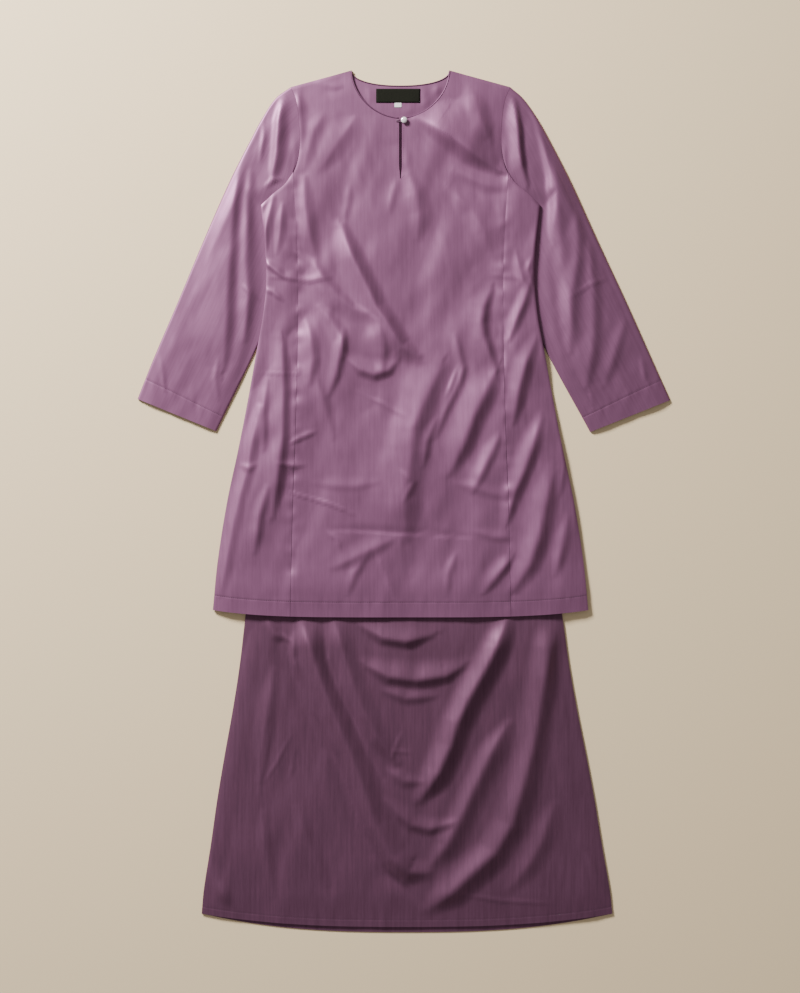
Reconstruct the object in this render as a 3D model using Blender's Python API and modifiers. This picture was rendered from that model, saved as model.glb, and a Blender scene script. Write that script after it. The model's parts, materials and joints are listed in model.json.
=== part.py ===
"""Baju kurung laid flat: a long panelled tunic with set-in sleeves over a flared skirt.

Sizes are in millimetres. x runs out from the tunic's centre line, positive to the wearer's left,
and down runs from the high shoulder points to the skirt's hem. Heights are above the table.
Every panel is a wall of cloth: its outer face is its under face moved up by the wall.
"""

import math
from collections import namedtuple

import bmesh
import bpy

MM = 0.001
OBJECT_NAME = "baju_kurung"

# Cloth and seams
WALL = 1.2
SEAM_GAP = 0.3
LAYER = WALL + SEAM_GAP

# Overall length and the tunic's centre line in the part's frame
TOTAL_LENGTH = 1506.6
TUNIC_CENTRE_X = -5.8

# Tunic
NECK_HALF = 87.0
FRONT_NECK_DEPTH = 85.0
FRONT_NECK_POWER = 1.88
BACK_NECK_DEPTH = 28.0
BACK_NECK_POWER = 2.2
SHOULDER_DROP = 28.7
SEAM_TOP = 178.0
ARMPIT = 236.0
HEM_CORNER = 943.0
HEM_CENTRE = 955.5
HEM_POWER = 4.0
SLIT_HALF = 2.8
SLIT_TIP_HALF = 1.3

# Skirt
WAIST_TOP = 517.0
WAIST_FOOT = 552.0
WAIST_HALF = 190.0
SKIRT_CORNER = 1474.0
SKIRT_HEM_FRONT = 1497.0
SKIRT_HEM_BACK = 1506.6
SKIRT_HEM_POWER = 2.6

# Heights of the layers that lie on each other
TUBE_HEIGHT = 3.0
STACK = TUBE_HEIGHT + SEAM_GAP
SKIRT_FOLD_ROOM = 2.2
TUCK_WIDTH = 35.0
EASE = 50.0
CELL = 26.0

# How far the upper layers stand off the lower ones
TUNIC_PUFF = 2.4
SLEEVE_PUFF = 2.2
SKIRT_PUFF = 1.6
LEAST_PUFF = 0.9
NECK_LIFT = 3.0
NECK_EASE_START = 30.0
NECK_EASE_END = 90.0
SHOULDER_POINT_LIFT = 1.0
SHOULDER_POINT_END = 118.0
EDGE_FADE = 45.0
SLEEVE_EDGE_FADE = 32.0
ARMHOLE_FADE = 36.0

# Heights on the garment between which the stand-off settles toward the hems
TUNIC_CALM_START = 895.0
TUNIC_CALM_END = 950.0
TUNIC_CALM = 0.55
SKIRT_FOLDS_START = 925.0
SKIRT_FOLDS_FULL = 1040.0
SKIRT_CALM_START = 1435.0
SKIRT_CALM_END = 1490.0
SKIRT_CALM = 0.6

# Where a sleeve comes clear of the tunic's side
CLEAR_START = 16.0
CLEAR_DOWN_START = 505.0
CLEAR_DOWN_END = 550.0

# Folded edge of a flattened tube
NOSE_RUN = 4.0
NOSE_INSET = 2.6

# Trimmings
ROLL_RADIUS = 1.1
BUTTON_X = 6.3
BUTTON_DOWN = 87.6
BUTTON_RADIUS = 5.5
BUTTON_DOME = 3.4
SHANK_RADIUS = 1.3
LOOP_RADIUS = 0.6
LABEL_LEFT = -42.7
LABEL_RIGHT = 34.3
LABEL_TOP = 31.5
LABEL_FOOT = 55.7
TAB_LEFT = -10.3
TAB_RIGHT = 1.8
TAB_FOOT = 64.0
LABEL_WALL = 1.0

Section = namedtuple("Section", "down out")
Fold = namedtuple("Fold", "height half_width route")

ARMHOLE = (
    Section(28.7, 192.0),
    Section(47.5, 183.5),
    Section(72.0, 178.7),
    Section(97.0, 176.5),
    Section(132.0, 176.0),
    Section(160.0, 180.5),
    Section(178.0, 187.6),
    Section(199.0, 201.7),
    Section(214.5, 220.5),
    Section(236.0, 244.0),
)

PANEL_SEAM = (
    Section(178.0, 187.6),
    Section(320.0, 180.0),
    Section(453.0, 179.4),
    Section(620.0, 183.0),
    Section(747.0, 188.0),
    Section(943.0, 192.5),
)

TUNIC_SIDE = (
    Section(236.0, 244.0),
    Section(345.0, 234.5),
    Section(415.0, 238.5),
    Section(497.0, 253.0),
    Section(595.0, 271.0),
    Section(661.0, 284.0),
    Section(751.0, 303.0),
    Section(856.0, 319.5),
    Section(943.0, 328.0),
)

SKIRT_SIDE = (
    Section(552.0, 190.0),
    Section(650.0, 232.0),
    Section(750.0, 252.0),
    Section(855.0, 264.0),
    Section(961.0, 278.0),
    Section(1039.5, 288.0),
    Section(1118.0, 301.0),
    Section(1197.0, 316.0),
    Section(1276.0, 330.0),
    Section(1354.5, 342.0),
    Section(1433.0, 355.0),
    Section(1474.0, 359.0),
)

# The skirt's centre line leans a little to the wearer's left
SKIRT_LEAN = (
    Section(552.0, 1.8),
    Section(961.0, 6.0),
    Section(1474.0, 11.4),
)

# Folded edges of the two sleeves, by the wearer's sides
SLEEVE_OUTER = {
    "left": (
        Section(28.7, 192.0),
        Section(47.0, 213.0),
        Section(82.0, 238.0),
        Section(121.0, 260.0),
        Section(191.0, 296.0),
        Section(296.0, 344.0),
        Section(401.0, 393.0),
        Section(506.0, 440.0),
        Section(576.0, 471.6),
    ),
    "right": (
        Section(28.7, 192.0),
        Section(47.0, 217.0),
        Section(82.0, 241.0),
        Section(121.0, 262.0),
        Section(191.0, 297.5),
        Section(296.0, 344.0),
        Section(401.0, 388.0),
        Section(506.0, 433.0),
        Section(574.0, 460.0),
    ),
}

SLEEVE_INNER = {
    "left": (
        Section(236.0, 244.0),
        Section(262.0, 231.0),
        Section(300.0, 221.0),
        Section(345.0, 218.0),
        Section(400.0, 223.0),
        Section(474.0, 247.0),
        Section(632.0, 331.6),
    ),
    "right": (
        Section(236.0, 244.0),
        Section(262.0, 231.0),
        Section(300.0, 221.0),
        Section(345.0, 218.0),
        Section(400.0, 223.0),
        Section(474.0, 247.0),
        Section(630.5, 322.0),
    ),
}

SIDE_SIGN = {"left": 1, "right": -1}

# Rows at which the armhole edges of panels and sleeves have their corners
UPPER_STATIONS = (28.7, 56.0, 83.4, 110.7, 138.0, 160.0, 178.0)
LOWER_STATIONS = (178.0, 194.0, 209.0, 223.0, 236.0)
SLIT_ROWS = 4

# Corners of half a neckline, which the rolled edge shares with its panel
FRONT_NECK_STEPS = 5
BACK_NECK_STEPS = 4

# The largest folds, as crests of (x, down) points with their height and half width
TUNIC_FOLDS = (
    Fold(6.5, 36, ((-98, 282), (-70, 355), (-42, 415), (-12, 460), (30, 500))),
    Fold(6.0, 45, ((70, 520), (36, 590), (21, 627), (20, 666), (6, 742), (5, 812))),
    Fold(5.5, 36, ((30, 82), (62, 101), (100, 126), (130, 148), (166, 172))),
    Fold(5.5, 34, ((170, 520), (150, 560), (128, 605), (112, 650), (88, 700))),
    Fold(4.5, 28, ((236, 470), (218, 515), (206, 560), (198, 612))),
    Fold(5.0, 30, ((246, 608), (232, 655), (216, 700), (200, 735), (186, 790))),
    Fold(5.5, 32, ((268, 700), (252, 765), (240, 820), (226, 862), (200, 905))),
    Fold(4.5, 30, ((-206, 470), (-204, 560), (-206, 640), (-215, 720), (-224, 780))),
    Fold(4.0, 28, ((-246, 590), (-268, 700), (-292, 790), (-314, 915))),
    Fold(4.5, 28, ((-166, 188), (-164, 240), (-156, 290), (-144, 334))),
    Fold(4.5, 30, ((158, 384), (142, 440), (154, 492), (166, 524))),
    Fold(4.0, 28, ((-176, 326), (-132, 368), (-84, 416), (-62, 424))),
    Fold(3.0, 28, ((-92, 505), (-45, 532), (-6, 508))),
)

SKIRT_FOLDS = (
    Fold(8.0, 40, ((192, 945), (170, 1005), (146, 1052), (120, 1098), (88, 1180), (36, 1272))),
    Fold(8.0, 40, ((282, 945), (252, 1062), (230, 1190), (214, 1252), (194, 1318), (164, 1368),
                   (122, 1406), (50, 1466))),
    Fold(8.5, 38, ((-176, 945), (-140, 1060), (-118, 1120), (-88, 1190), (-44, 1318), (-14, 1374),
                   (16, 1400), (50, 1394), (80, 1362), (105, 1312), (128, 1262), (202, 1130))),
    Fold(5.5, 30, ((-118, 945), (-84, 1070), (-40, 1166), (-8, 1208))),
    Fold(5.0, 34, ((-70, 972), (-30, 996), (10, 1002), (52, 990))),
    Fold(5.0, 30, ((-58, 1044), (-20, 1062), (30, 1068), (104, 1046))),
    Fold(3.5, 30, ((268, 1286), (248, 1345), (228, 1382), (194, 1428))),
    Fold(3.5, 30, ((-262, 985), (-288, 1130), (-314, 1280), (-340, 1420))),
)

SLEEVE_FOLDS = {
    "left": (
        Fold(4.5, 24, ((226, 52), (256, 140), (268, 240), (257, 370), (262, 430))),
        Fold(4.5, 42, ((284, 150), (290, 240), (302, 340), (318, 440), (334, 540))),
        Fold(3.0, 26, ((330, 310), (338, 400), (338, 460), (326, 550))),
    ),
    "right": (
        Fold(6.5, 30, ((-234, 56), (-280, 150), (-299, 260), (-308, 380), (-312, 520))),
        Fold(3.5, 22, ((-204, 44), (-213, 90), (-216, 140), (-224, 190))),
        Fold(3.0, 26, ((-262, 180), (-270, 330), (-266, 400), (-272, 470))),
    ),
}

Finish = namedtuple("Finish", "name colour roughness metallic")

SATIN = Finish("purple_satin", (0.26, 0.125, 0.235), 0.42, 0.0)
SKIRT_SATIN = Finish("purple_satin_skirt", (0.20, 0.095, 0.18), 0.42, 0.0)
SATIN_EDGE = Finish("purple_satin_roll", (0.24, 0.11, 0.21), 0.45, 0.0)
PEARL = Finish("pearl", (0.80, 0.76, 0.72), 0.22, 0.0)
THREAD = Finish("purple_thread", (0.18, 0.08, 0.16), 0.70, 0.0)
WOVEN_DARK = Finish("charcoal_woven_tape", (0.035, 0.032, 0.035), 0.75, 0.0)
WOVEN_WHITE = Finish("white_woven_tape", (0.80, 0.79, 0.77), 0.75, 0.0)


def fade(value, start, full):
    """Rise smoothly from 0 at start to 1 at full."""
    share = min(1.0, max(0.0, (value - start) / (full - start)))
    return share * share * (3.0 - 2.0 * share)


def read(table, down):
    """Read a table's out value at one height, smoothly through its rows."""
    if down <= table[0].down:
        return table[0].out
    if down >= table[-1].down:
        return table[-1].out
    low = max(n for n, row in enumerate(table) if row.down <= down)
    before, after = table[low], table[low + 1]
    span = after.down - before.down
    share = (down - before.down) / span
    leave = slope_at(table, low) * span
    arrive = slope_at(table, low + 1) * span
    bend = leave + arrive - 2.0 * (after.out - before.out)
    pull = 3.0 * (after.out - before.out) - 2.0 * leave - arrive
    return before.out + share * (leave + share * (pull + share * bend))


def slope_at(table, row):
    """Slope of the table's smooth curve at one of its rows."""
    first = table[max(0, row - 1)]
    last = table[min(len(table) - 1, row + 1)]
    return (last.out - first.out) / (last.down - first.down)


def between(first, last, share):
    """Point or number at a share of the way from first to last."""
    if isinstance(first, tuple):
        return tuple(between(a, b, share) for a, b in zip(first, last))
    return first + (last - first) * share


def front_neck_down(x):
    """Depth of the front neckline at x, which is 0 from the high shoulder point outward."""
    share = min(1.0, abs(x) / NECK_HALF)
    return FRONT_NECK_DEPTH * (1.0 - share ** FRONT_NECK_POWER) ** (1.0 / FRONT_NECK_POWER)


def back_neck_down(x):
    """Depth of the back neckline at x."""
    share = min(1.0, abs(x) / NECK_HALF)
    return BACK_NECK_DEPTH * (1.0 - share ** BACK_NECK_POWER) ** (1.0 / BACK_NECK_POWER)


def shoulder_down(x):
    """Height of the shoulder seam, which is straight from the neck to the shoulder tip."""
    run = ARMHOLE[0].out - NECK_HALF
    return SHOULDER_DROP * max(0.0, abs(x) - NECK_HALF) / run


def tunic_hem_down(x):
    """Height of the tunic's hem, which curves up toward the side seams."""
    share = min(1.0, abs(x) / TUNIC_SIDE[-1].out)
    return HEM_CENTRE - (HEM_CENTRE - HEM_CORNER) * share ** HEM_POWER


def centre_edge(down):
    """Outer edge of the centre panels: the armhole, and below it the panel seam."""
    return read(ARMHOLE, down) if down <= SEAM_TOP else read(PANEL_SEAM, down)


def tunic_edge(down):
    """Outer edge of the whole tunic body: the armhole, and below it the side seam."""
    return read(ARMHOLE, down) if down <= ARMPIT else read(TUNIC_SIDE, down)


def fold_height(folds, x, down):
    """Sum of the folds' heights at one place, each a soft ridge along its route."""
    total = 0.0
    for fold in folds:
        steps = list(zip(fold.route, fold.route[1:]))
        nearest = fold.half_width
        along = 0.0
        for number, ((x0, d0), (x1, d1)) in enumerate(steps):
            run_x, run_d = x1 - x0, d1 - d0
            share = ((x - x0) * run_x + (down - d0) * run_d) / (run_x ** 2 + run_d ** 2)
            share = min(1.0, max(0.0, share))
            away = math.hypot(x - x0 - share * run_x, down - d0 - share * run_d)
            if away < nearest:
                nearest = away
                along = (number + share) / len(steps)
        bell = 0.5 + 0.5 * math.cos(math.pi * nearest / fold.half_width)
        total += fold.height * bell * fade(min(along, 1.0 - along), -0.12, 0.22)
    return total


def skirt_cover(x, down):
    """Height that the skirt under the tunic gives to the tunic's underside."""
    beside = abs(x - read(SKIRT_LEAN, down)) - read(SKIRT_SIDE, down)
    level = STACK + SKIRT_FOLD_ROOM * fade(down, 860.0, 915.0)
    return level * fade(down, 415.0, 485.0) * (1.0 - fade(beside, CELL, CELL + EASE))


def tuck_cover(x, down):
    """Height that a sleeve tucked under the tunic's side gives to the tunic's underside."""
    inside = abs(x) - (tunic_edge(max(down, ARMPIT)) - TUCK_WIDTH)
    along = fade(down, 150.0, 205.0) * (1.0 - fade(down, 500.0, 570.0))
    return STACK * along * fade(inside, -EASE, 0.0)


def back_under(x, down):
    """Under face of the tunic's back."""
    return max(skirt_cover(x, down), tuck_cover(x, down))


def neck_lift(x, down):
    """Stand-off of the front round its neckline and slit."""
    power = FRONT_NECK_POWER
    ring = ((abs(x) / NECK_HALF) ** power + (down / FRONT_NECK_DEPTH) ** power) ** (1.0 / power)
    reach = (ring - 1.0) * NECK_HALF
    below = fade(down - shoulder_down(x), 0.0, EDGE_FADE)
    at_shoulder = SHOULDER_POINT_LIFT * (1.0 - fade(abs(x), NECK_HALF, SHOULDER_POINT_END))
    return between(at_shoulder, NECK_LIFT, below) * (1.0 - fade(reach, NECK_EASE_START, NECK_EASE_END))


def front_lift(x, down):
    """Stand-off of the tunic's front from its back, with the folds."""
    cloth = max(LEAST_PUFF, TUNIC_PUFF + fold_height(TUNIC_FOLDS, x, down))
    cloth *= fade(tunic_edge(down) - abs(x), 0.0, EDGE_FADE)
    cloth *= fade(down - shoulder_down(x), 0.0, EDGE_FADE)
    cloth *= 1.0 - TUNIC_CALM * fade(down, TUNIC_CALM_START, TUNIC_CALM_END)
    return max(cloth, neck_lift(x, down))


def front_under(x, down):
    """Under face of the tunic's front."""
    return back_under(x, down) + LAYER + front_lift(x, down)


def skirt_front_under(x, down):
    """Under face of the skirt's front, flat where the tunic covers it."""
    beside = read(SKIRT_SIDE, down) - abs(x - read(SKIRT_LEAN, down))
    lift = SKIRT_PUFF + fold_height(SKIRT_FOLDS, x, down)
    lift *= fade(down, SKIRT_FOLDS_START, SKIRT_FOLDS_FULL) * fade(beside, 0.0, EDGE_FADE)
    lift *= 1.0 - SKIRT_CALM * fade(down, SKIRT_CALM_START, SKIRT_CALM_END)
    return LAYER + lift


def skirt_back_under(x, down):
    """Under face of the skirt's back, which lies on the table."""
    return 0.0


def frame_point(x, down, height):
    """Point in the part's frame, in metres, from a place on the garment."""
    return ((x + TUNIC_CENTRE_X) * MM, (TOTAL_LENGTH / 2.0 - down) * MM, height * MM)


def make_material(finish):
    """Principled material of one finish, made once."""
    material = bpy.data.materials.get(finish.name)
    if material is None:
        material = bpy.data.materials.new(finish.name)
        material.use_nodes = True
        shader = material.node_tree.nodes["Principled BSDF"]
        shader.inputs["Base Color"].default_value = (*finish.colour, 1.0)
        shader.inputs["Roughness"].default_value = finish.roughness
        shader.inputs["Metallic"].default_value = finish.metallic
        material.diffuse_color = (*finish.colour, 1.0)
    return material


def make_object(name, mesh, finish, parts, smooth=True):
    """Object of one finished bmesh, linked to the part's collection."""
    bmesh.ops.recalc_face_normals(mesh, faces=mesh.faces[:])
    data = bpy.data.meshes.new(name)
    mesh.to_mesh(data)
    mesh.free()
    data.materials.append(make_material(finish))
    if smooth:
        data.shade_smooth()
        data.set_sharp_from_angle(angle=math.radians(40.0))
    made = bpy.data.objects.new(name, data)
    parts.objects.link(made)
    return made


def wall_from_faces(mesh):
    """Extrude an open mesh into a closed one and return the new face's vertices."""
    made = bmesh.ops.extrude_face_region(mesh, geom=mesh.faces[:])
    return {item for item in made["geom"] if isinstance(item, bmesh.types.BMVert)}


def make_panel(name, columns, rows, place, under, finish, parts, left_out=()):
    """Panel of cloth on a grid: place gives the plan, under the height of its lower face."""
    mesh = bmesh.new()
    bmesh.ops.create_grid(mesh, x_segments=columns, y_segments=rows, size=0.5)
    cells = {}
    for face in mesh.faces:
        middle = face.calc_center_median()
        column = round((middle.x + 0.5) * columns - 0.5)
        row = round((0.5 - middle.y) * rows - 0.5)
        cells[(column, row)] = face
    gaps = [cells[cell] for cell in left_out]
    if gaps:
        bmesh.ops.delete(mesh, geom=gaps, context="FACES")
    upper = wall_from_faces(mesh)
    for vertex in mesh.verts:
        column = round((vertex.co.x + 0.5) * columns)
        row = round((0.5 - vertex.co.y) * rows)
        x, down = place(column, row)
        height = under(x, down) + (WALL if vertex in upper else 0.0)
        vertex.co = frame_point(x, down, height)
    return make_object(name, mesh, finish, parts)


def make_flat_tube(name, columns, rows, place, top_lift, height, finish, parts):
    """Flattened tube of cloth, open at both ends, with a folded edge on each side.

    place(column, row) gives the plan of the layers' points, from the first folded edge at
    column 0 to the second at the last column, and top_lift the upper layer's stand-off.
    """
    mesh = bmesh.new()
    around = 2 * columns
    bmesh.ops.create_cone(mesh, cap_ends=False, segments=around, radius1=1.0, radius2=1.0, depth=1.0)
    if rows > 1:
        upright = [edge for edge in mesh.edges if abs(edge.verts[0].co.z - edge.verts[1].co.z) > 0.5]
        bmesh.ops.subdivide_edges(mesh, edges=upright, cuts=rows - 1)
    inner = wall_from_faces(mesh)
    for vertex in mesh.verts:
        turn = math.atan2(vertex.co.y, vertex.co.x) / (2.0 * math.pi)
        step = round(turn * around) % around
        row = round((vertex.co.z + 0.5) * rows)
        on_top = step < columns
        column = step if step <= columns else around - step
        x, down = place(column, row)
        inset = WALL if vertex in inner else 0.0
        if column in (0, columns):
            toward = place(1 if column == 0 else columns - 1, row)
            if inset:
                x, down = between((x, down), toward, NOSE_INSET / NOSE_RUN)
            level = height / 2.0
        elif on_top:
            level = height + top_lift(column, row) - inset
        else:
            level = inset
        vertex.co = frame_point(x, down, level)
    return make_object(name, mesh, finish, parts)


def make_tube(name, points, radius, finish, parts):
    """Round cord along points of (x, down, height), with filled ends."""
    curve = bpy.data.curves.new(name, "CURVE")
    curve.dimensions = "3D"
    curve.bevel_depth = radius * MM
    curve.bevel_resolution = 2
    curve.use_fill_caps = True
    spline = curve.splines.new("POLY")
    spline.points.add(len(points) - 1)
    for spot, point in zip(spline.points, points):
        spot.co = (*frame_point(*point), 1.0)
    curve.materials.append(make_material(finish))
    made = bpy.data.objects.new(name, curve)
    parts.objects.link(made)
    return made


def make_tape(name, left, right, top, foot, floor, finish, parts):
    """Flat rectangular tape that lies on a level face."""
    mesh = bmesh.new()
    bmesh.ops.create_cube(mesh, size=1.0)
    for vertex in mesh.verts:
        x = between(left, right, vertex.co.x + 0.5)
        down = between(foot, top, vertex.co.y + 0.5)
        vertex.co = frame_point(x, down, floor + LABEL_WALL * (vertex.co.z + 0.5))
    return make_object(name, mesh, finish, parts, smooth=False)


def centre_rows(lower_rows):
    """Edge heights of the centre panels' rows: the armhole's stations, then even ones."""
    run = (HEM_CORNER - SEAM_TOP) / lower_rows
    return list(UPPER_STATIONS) + [SEAM_TOP + run * step for step in range(1, lower_rows + 1)]


def panel_share(down):
    """Share of the way from the shoulder line to the hem, read at a panel's outer edge."""
    return (down - SHOULDER_DROP) / (HEM_CORNER - SHOULDER_DROP)


def front_centre_place(heights):
    """Plan of the front centre panel's grid, with the slit between its two middle columns."""
    half = 2 * FRONT_NECK_STEPS
    at_neck = FRONT_NECK_STEPS

    def even(step):
        return (step + 0.5) / (half + 0.5)

    def at_top(step):
        if step <= at_neck:
            start = math.asin(SLIT_HALF / NECK_HALF)
            turn = between(start, math.pi / 2.0, step / at_neck)
            return NECK_HALF * math.sin(turn)
        return between(NECK_HALF, ARMHOLE[0].out, (step - at_neck) / (half - at_neck))

    def place(column, row):
        step = half - column if column <= half else column - half - 1
        side = -1.0 if column <= half else 1.0
        share = panel_share(heights[row])
        edge = centre_edge(heights[row])
        top_x = at_top(step)
        spread = fade(row, 1, SLIT_ROWS + 5)
        part = between(top_x / ARMHOLE[0].out, even(step), spread)
        x = part * edge
        if row <= SLIT_ROWS and step == 0:
            x = between(SLIT_HALF, SLIT_TIP_HALF, fade(row, SLIT_ROWS - 2, SLIT_ROWS))
        start = front_neck_down(top_x) if step <= at_neck else shoulder_down(top_x)
        down = between(start, tunic_hem_down(part * edge), share)
        return side * x, down

    return place


def back_centre_place(heights):
    """Plan of the back centre panel's grid, of four columns for each neckline step."""
    at_neck = BACK_NECK_STEPS
    half = 2 * BACK_NECK_STEPS

    def place(column, row):
        step = abs(column - half)
        side = -1.0 if column < half else 1.0
        share = panel_share(heights[row])
        edge = centre_edge(heights[row])
        if step <= at_neck:
            top_x = NECK_HALF * math.sin(math.pi / 2.0 * step / at_neck)
            start = back_neck_down(top_x)
        else:
            top_x = between(NECK_HALF, ARMHOLE[0].out, (step - at_neck) / (half - at_neck))
            start = shoulder_down(top_x)
        part = between(top_x / ARMHOLE[0].out, step / half, fade(row, 1, 8))
        down = between(start, tunic_hem_down(part * edge), share)
        return side * part * edge, down

    return place


def side_place(side, rows):
    """Plan of a side panel's grid, from the panel seam out to the side seam."""
    last = len(LOWER_STATIONS) - 1

    def place(column, row):
        share = row / rows
        top = LOWER_STATIONS[column]
        inner_down = between(LOWER_STATIONS[0], tunic_hem_down(PANEL_SEAM[-1].out), share)
        outer_down = between(LOWER_STATIONS[last], HEM_CORNER, share)
        inner = read(PANEL_SEAM, inner_down) + SEAM_GAP
        outer = read(TUNIC_SIDE, outer_down)
        top_inner = read(ARMHOLE, LOWER_STATIONS[0])
        part = (read(ARMHOLE, top) - top_inner) / (TUNIC_SIDE[0].out - top_inner)
        x = between(inner, outer, part)
        down = between(top, tunic_hem_down(x), share)
        return SIDE_SIGN[side] * x, down

    return place


def armhole_line():
    """Points of the sleeve's armhole edge, set off from the panels by the seam gap."""
    line = []
    for down in UPPER_STATIONS + LOWER_STATIONS[1:]:
        slope = (read(ARMHOLE, down + 1.0) - read(ARMHOLE, down - 1.0)) / 2.0
        size = math.hypot(1.0, slope)
        gap = SEAM_GAP + 0.05
        line.append((read(ARMHOLE, down) + gap / size, down - gap * slope / size))
    return line


def line_shares(line):
    """Shares of a line's length at its points."""
    total = [0.0]
    for first, last in zip(line, line[1:]):
        total.append(total[-1] + math.dist(first, last))
    return [length / total[-1] for length in total]


def point_on_line(line, shares, share):
    """Point of a line of straight steps at a share of its length."""
    for number in range(len(line) - 1):
        if share <= shares[number + 1]:
            part = (share - shares[number]) / (shares[number + 1] - shares[number])
            return between(line[number], line[number + 1], part)
    return line[-1]


def sleeve_place(side, rows):
    """Plan of a sleeve's grid, between its armhole, cuff and two folded edges."""
    line = armhole_line()
    shares = line_shares(line)
    columns = len(line) + 1
    outer, inner = SLEEVE_OUTER[side], SLEEVE_INNER[side]
    cuff_out = (outer[-1].out, outer[-1].down)
    cuff_in = (inner[-1].out, inner[-1].down)

    def place(column, row):
        along = row / rows
        outer_down = between(line[0][1], cuff_out[1], along)
        inner_down = between(line[-1][1], cuff_in[1], along)
        gap = line[0][0] - ARMHOLE[0].out
        edge_out = (read(outer, outer_down) + gap * (1.0 - along), outer_down)
        gap = line[-1][0] - ARMHOLE[-1].out
        edge_in = (read(inner, inner_down) + gap * (1.0 - along), inner_down)
        width = math.dist(edge_out, edge_in)
        if column in (0, columns):
            across = float(column == columns)
        elif column == 1:
            across = NOSE_RUN / width
        elif column == columns - 1:
            across = 1.0 - NOSE_RUN / width
        else:
            across = shares[column - 1]
        top = point_on_line(line, shares, across)
        foot = between(cuff_out, cuff_in, across)
        x, down = (
            (1.0 - along) * top[axis] + along * foot[axis]
            + (1.0 - across) * edge_out[axis] + across * edge_in[axis]
            - (1.0 - along) * between(line[0][axis], line[-1][axis], across)
            - along * between(cuff_out[axis], cuff_in[axis], across)
            for axis in (0, 1)
        )
        return SIDE_SIGN[side] * x, down

    return place, columns


def sleeve_lift(side, place, columns):
    """Stand-off of a sleeve's upper layer, flat under the tunic's side and at its edges."""

    def lift(column, row):
        x, down = place(column, row)
        first = place(0, row)
        last = place(columns, row)
        start = place(column, 0)
        cloth = max(LEAST_PUFF, SLEEVE_PUFF + fold_height(SLEEVE_FOLDS[side], x, down))
        cloth *= fade(math.dist((x, down), first), 0.0, SLEEVE_EDGE_FADE)
        cloth *= fade(math.dist((x, down), last), 0.0, SLEEVE_EDGE_FADE)
        cloth *= fade(math.dist((x, down), start), 0.0, ARMHOLE_FADE)
        clear = fade(abs(x) - read(TUNIC_SIDE, down), CLEAR_START, EDGE_FADE)
        return cloth * max(clear, fade(down, CLEAR_DOWN_START, CLEAR_DOWN_END))

    return lift


def make_tunic_body(parts):
    """Front and back of the tunic: a centre panel and two side panels each."""
    front_heights = centre_rows(25)
    middle = 2 * FRONT_NECK_STEPS
    slit = [(middle, row) for row in range(SLIT_ROWS)]
    make_panel("tunic_front_centre", 2 * middle + 1, len(front_heights) - 1,
               front_centre_place(front_heights), front_under, SATIN, parts, left_out=slit)
    back_heights = centre_rows(17)
    make_panel("tunic_back_centre", 4 * BACK_NECK_STEPS, len(back_heights) - 1,
               back_centre_place(back_heights), back_under, SATIN, parts)
    rows = 24
    for side in SIDE_SIGN:
        plan = side_place(side, rows)
        columns = len(LOWER_STATIONS) - 1
        make_panel(f"tunic_front_side_{side}", columns, rows, plan, front_under, SATIN, parts)
        make_panel(f"tunic_back_side_{side}", columns, rows, plan, back_under, SATIN, parts)


def make_sleeves(parts):
    """Two set-in sleeves, flattened, with their inner edges under the tunic's sides."""
    rows = 17
    for side in SIDE_SIGN:
        place, columns = sleeve_place(side, rows)
        lift = sleeve_lift(side, place, columns)
        make_flat_tube(f"sleeve_{side}", columns, rows, place, lift, TUBE_HEIGHT, SATIN, parts)


def skirt_place(columns, rows, hem_centre):
    """Plan of a skirt panel's grid, from the waistband to the hem."""

    def place(column, row):
        part = 2.0 * column / columns - 1.0
        hem = hem_centre - (hem_centre - SKIRT_CORNER) * abs(part) ** SKIRT_HEM_POWER
        down = between(WAIST_FOOT + SEAM_GAP, hem, row / rows)
        return read(SKIRT_LEAN, down) + part * read(SKIRT_SIDE, down), down

    return place


def make_skirt(parts):
    """Front and back of the skirt, and the flat tube of its waistband."""
    front = skirt_place(20, 30, SKIRT_HEM_FRONT)
    make_panel("skirt_front", 20, 30, front, skirt_front_under, SKIRT_SATIN, parts)
    back = skirt_place(12, 16, SKIRT_HEM_BACK)
    make_panel("skirt_back", 12, 16, back, skirt_back_under, SKIRT_SATIN, parts)
    lean = read(SKIRT_LEAN, WAIST_FOOT)
    steps = 8
    rows = 2

    def place(column, row):
        if column in (0, steps):
            x = WAIST_HALF if column else -WAIST_HALF
        else:
            reach = WAIST_HALF - NOSE_RUN
            x = between(-reach, reach, (column - 1) / (steps - 2))
        return lean + x, between(WAIST_TOP, WAIST_FOOT, row / rows)

    def level(column, row):
        return 0.0

    make_flat_tube("skirt_waistband", steps, rows, place, level, TUBE_HEIGHT, SKIRT_SATIN, parts)


def neck_route(half_angle_start, steps, depth, power, side):
    """Points along a neckline, set in from the panel's edge by the roll and the seam gap."""
    inset = ROLL_RADIUS + SEAM_GAP
    route = []
    for step in range(steps + 1):
        turn = between(half_angle_start, math.pi / 2.0, step / steps)
        x = NECK_HALF * math.sin(turn)
        share = x / NECK_HALF
        down = depth * max(0.0, 1.0 - share ** power) ** (1.0 / power)
        lean_x = share ** (power - 1.0) / NECK_HALF
        lean_down = (down / depth) ** (power - 1.0) / depth
        size = math.hypot(lean_x, lean_down)
        route.append((side * (x - inset * lean_x / size), down - inset * lean_down / size))
    return route


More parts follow.
